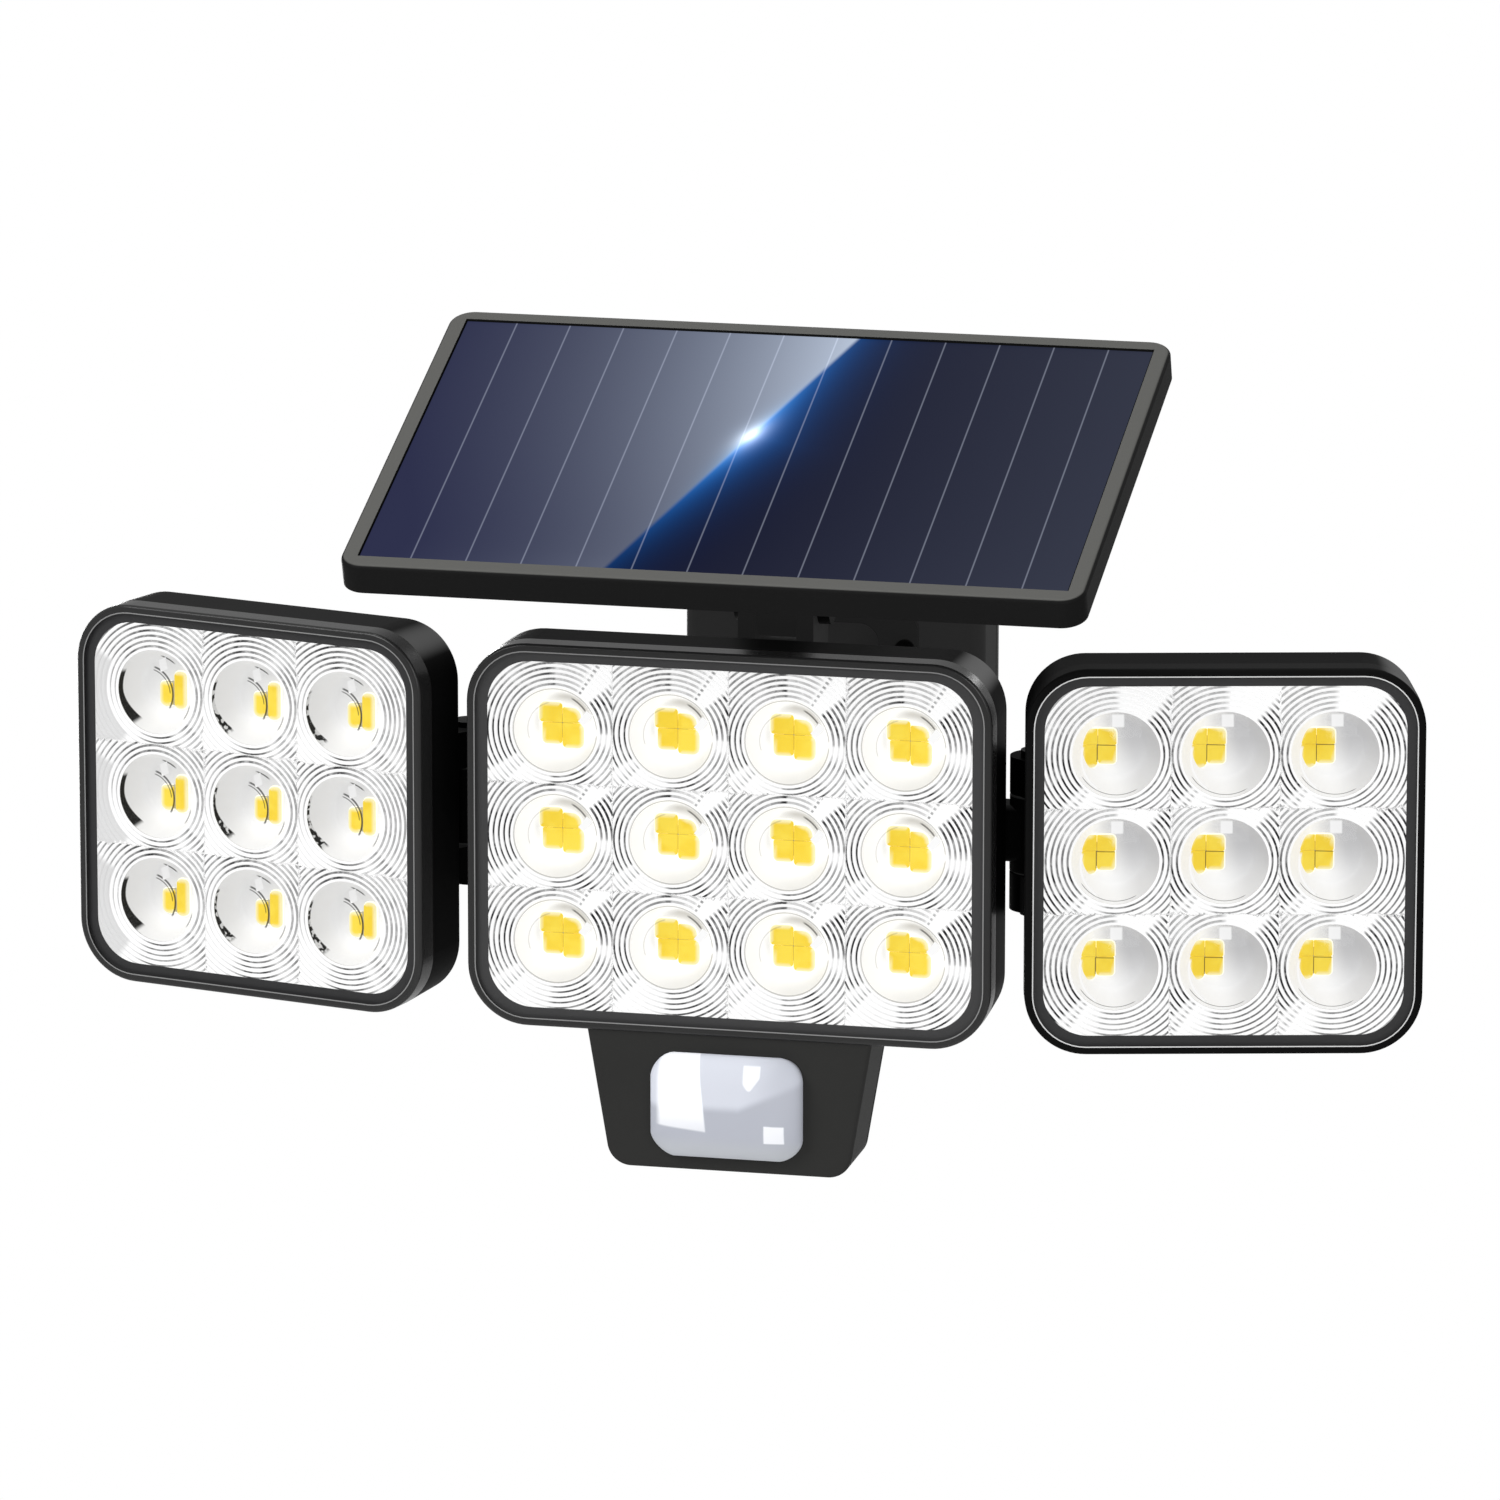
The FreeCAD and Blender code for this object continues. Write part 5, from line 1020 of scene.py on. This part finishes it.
def make_sheet(head):
    """Grooved lens sheet with clear domes, a dark border and a painted highlight line round that."""
    bm = bmesh.new()
    lens = bm.verts.layers.float_vector.new("lens")
    for column, row, x, z in head.lenses():
        add_rings(bm, lens, head, column, row, x, z)
    bmesh.ops.remove_doubles(bm, verts=bm.verts, dist=SAME_PLACE)
    window = rounded_loop(bm, 0, 0, head.window_x, head.window_z, WINDOW_CORNER, BAND_Y, BORDER_STEPS)
    bridge(bm, window, border_loop(bm, head, LIP, BAND_Y), BAND_SLOT, False)
    within = border_loop(bm, head, LIP + EDGE_LINE, EDGE_LINE_Y)
    bridge(bm, within, border_loop(bm, head, LIP, EDGE_LINE_Y), LINE_SLOT, False)
    for column, _, x, z in head.lenses():
        add_dome(bm, lens, column, x, z)
    # The right head gets the brighter painted edge highlight.
    line = BRIGHT_PAINTED_EDGE_HIGHLIGHT if head.name == "right" else PAINTED_EDGE_HIGHLIGHT
    # The middle head's border band is the lighter copy, painted light.
    band = CENTER_BAND if head.name == "center" else BAND
    mesh = finish_mesh(bm, head.name + "_lens_sheet", (RINGS[head.name], band, DOMES[head.name], line))
    add_piece(head.name + "_lens_sheet", mesh, head.body, head.place,
              head.name + "_lens_plate")


def make_bowls(head):
    """White bowls that open behind each dome."""
    bm = bmesh.new()
    lens = bm.verts.layers.float_vector.new("lens")
    profile = [(BOWL_CENTER, BOWL_BACK), (BOWL_FLOOR, BOWL_BACK)]
    for step in range(BOWL_STEPS + 1):
        share = step / BOWL_STEPS
        radius = BOWL_BASE + (RING_START - BOWL_BASE) * share ** BOWL_FLARE
        profile.append((radius, BOWL_BACK - (BOWL_BACK - BOWL_FRONT) * share))
    for column, _, x, z in head.lenses():
        loops = [lens_circle(bm, lens, column, x, z, radius, y, BOWL_SIDES) for radius, y in profile]
        bridge_all(bm, loops, 0)
    mesh = finish_mesh(bm, head.name + "_bowls", (BOWLS[head.name],))
    add_piece(head.name + "_bowls", mesh, head.body, head.place,
              head.name + "_reflector")


def add_slab(bm, x, z, half_x, half_z, front, behind, corners, slot):
    """Rounded slab; gives its loops, from the middle of its face outwards and back."""
    loops = []
    for inset, y in ((CHIP_SOFT, front), (CHIP_BEVEL, front), (0.0, front + CHIP_BEVEL), (0.0, behind)):
        within = tuple(max(corner - inset, CHIP_LEAST_CORNER) for corner in corners)
        loops.append(rounded_loop(bm, x, z, half_x - inset, half_z - inset, within, y))
    face = bm.faces.new(loops[0])
    face.material_index = slot
    bridge_all(bm, loops, slot)
    return loops


def make_chips(head):
    """Yellow chips behind each lens, on a small base; their points carry 0 on the outer rims."""
    bm = bmesh.new()
    core = bm.verts.layers.float.new("core")
    for _, _, x, z in head.lenses():
        cx, cz = x + head.chips_at[0], z + head.chips_at[1]
        add_slab(bm, cx, cz - CHIP_BASE_DOWN, *CHIP_BASE_HALF, CHIP_BASE_FRONT, CHIP_BASE_BACK,
                 CHIP_BASE_CORNERS, BASE_SLOT)
        for left, right, bottom, top, corners in head.chips:
            half_x, half_z = (right - left) / 2, (top - bottom) / 2
            middle_x, middle_z = cx + left + half_x, cz + bottom + half_z
            middle, *outer = add_slab(bm, middle_x, middle_z, half_x, half_z, CHIP_FRONT, CHIP_BACK,
                                      corners, CHIP_SLOT)
            for vert in middle:
                vert[core] = 1.0
            for vert in sum(outer, []):
                from_gap = min(abs(vert.co.x - cx), abs(vert.co.z - cz))
                vert[core] = 1.0 if from_gap < CHIP_GAP_REACH else 0.0
            wider = tuple(corner + CHIP_HALO_WIDTH for corner in corners)
            add_slab(bm, middle_x, middle_z, half_x + CHIP_HALO_WIDTH, half_z + CHIP_HALO_WIDTH,
                     CHIP_HALO_FRONT, CHIP_HALO_BACK, wider, HALO_SLOT)
    mesh = finish_mesh(bm, head.name + "_chips", (CHIP, CHIP_BASE, CHIP_HALO))
    add_piece(head.name + "_chips", mesh, head.body, head.place, head.name + "_leds")


for head in HEADS:
    make_sheet(head)
    make_bowls(head)
    make_chips(head)


# Motion sensor lens, swollen like a pillow

def swell(vert, rise):
    """Moves a point of the flat outline out by the rise, and bows the long and short sides."""
    across = (vert.co.x - SENSOR_X) / SENSOR_HALF[0]
    upward = (vert.co.z - SENSOR_Z) / SENSOR_HALF[1]
    free = min(1.0, rise / SENSOR_FREE)
    vert.co.x += across * free * SENSOR_SWELL[0] * (1 - upward ** 2)
    vert.co.y -= rise * (1 - SENSOR_CORNER_DROP * (across * upward) ** 2)
    vert.co.z += upward * free * SENSOR_SWELL[1] * (1 - across ** 2)


def make_sensor_lens():
    """Steep at its sides and nearly flat on top."""
    bm = bmesh.new()
    loops = []
    for step in range(SENSOR_STEPS):
        turn = math.pi / 2 * step / SENSOR_STEPS
        left = math.cos(turn) ** SENSOR_POWER
        rise = SENSOR_BULGE * math.sin(turn) ** SENSOR_POWER
        inset = SENSOR_HALF[1] * (1 - left)
        loop = rounded_loop(bm, SENSOR_X, SENSOR_Z, SENSOR_HALF[0] - inset, SENSOR_HALF[1] - inset,
                            SENSOR_CORNER * left, SENSOR_FRONT, SENSOR_CORNER_STEPS)
        for vert in loop:
            swell(vert, rise)
        loops.append(loop)
    foot = rounded_loop(bm, SENSOR_X, SENSOR_Z, *SENSOR_HALF, SENSOR_CORNER,
                        SENSOR_FRONT + SENSOR_FOOT, SENSOR_CORNER_STEPS)
    bridge_all(bm, [foot] + loops, 0)
    cap = bm.faces.new(loops[-1])
    cap.smooth = True
    mesh = finish_mesh(bm, "sensor_pillow", (MILKY,))
    add_piece("sensor_pillow", mesh, "mount", Matrix.Identity(4), "sensor_lens")


make_sensor_lens()


# Stage: pale floor, white surroundings and soft lights, in metres

FLOOR_HALF = 1.5
FLOOR_Z = -0.45
FLOOR_LEVEL = 0.8
SURROUND_LEVEL = 0.45


def make_floor():
    n = Nodes("floor")
    path = n.add("ShaderNodeLightPath")
    diffuse = n.add("ShaderNodeBsdfDiffuse")
    diffuse.inputs["Color"].default_value = grey(FLOOR_LEVEL)
    white = n.add("ShaderNodeEmission")
    mix = n.add("ShaderNodeMixShader")
    n.put(mix.inputs[0], path.outputs["Is Camera Ray"])
    n.put(mix.inputs[1], diffuse.outputs[0])
    n.put(mix.inputs[2], white.outputs[0])
    n.put(n.output.inputs["Surface"], mix.outputs[0])
    bm = bmesh.new()
    bmesh.ops.create_grid(bm, x_segments=8, y_segments=8, size=FLOOR_HALF)
    mesh = bpy.data.meshes.new("floor")
    bm.to_mesh(mesh)
    bm.free()
    mesh.materials.append(n.material)
    floor = bpy.data.objects.new("floor", mesh)
    floor.location = (0, 0, FLOOR_Z)
    scene.collection.objects.link(floor)


def make_world():
    """White to the camera, and a softer light on the part."""
    world = bpy.data.worlds.new("world")
    scene.world = world
    world.use_nodes = True
    tree = world.node_tree
    tree.nodes.clear()
    output = tree.nodes.new("ShaderNodeOutputWorld")
    path = tree.nodes.new("ShaderNodeLightPath")
    seen = tree.nodes.new("ShaderNodeBackground")
    seen.inputs["Color"].default_value = grey(1.0)
    light = tree.nodes.new("ShaderNodeBackground")
    light.inputs["Color"].default_value = grey(SURROUND_LEVEL)
    mix = tree.nodes.new("ShaderNodeMixShader")
    tree.links.new(path.outputs["Is Camera Ray"], mix.inputs[0])
    tree.links.new(light.outputs[0], mix.inputs[1])
    tree.links.new(seen.outputs[0], mix.inputs[2])
    tree.links.new(mix.outputs[0], output.inputs["Surface"])


def area(name, location, aim, wide, high, power):
    data = bpy.data.lights.new(name, "AREA")
    data.shape = "RECTANGLE"
    data.size = wide
    data.size_y = high
    data.energy = power
    item = bpy.data.objects.new(name, data)
    item.location = location
    way = Vector(aim) - Vector(location)
    item.rotation_mode = "QUATERNION"
    item.rotation_quaternion = way.to_track_quat("-Z", "Y")
    scene.collection.objects.link(item)


make_floor()
make_world()
area("key", location=(-0.9, -1.3, 1.1), aim=(0, -0.12, 0), wide=0.9, high=0.9, power=18)
area("fill", location=(0.7, -1.5, 0.5), aim=(0, -0.12, 0), wide=0.8, high=0.8, power=6)
area("top", location=(0, -0.2, 1.4), aim=(0, -0.1, 0), wide=1.0, high=0.6, power=8)
area("edge", location=(0.5, 1.3, 0.5), aim=(0.05, -0.1, 0.0), wide=0.25, high=0.25, power=1)
area("back", location=(-0.8, 1.4, -0.25), aim=(0, -0.05, 0), wide=1.0, high=0.3, power=9)
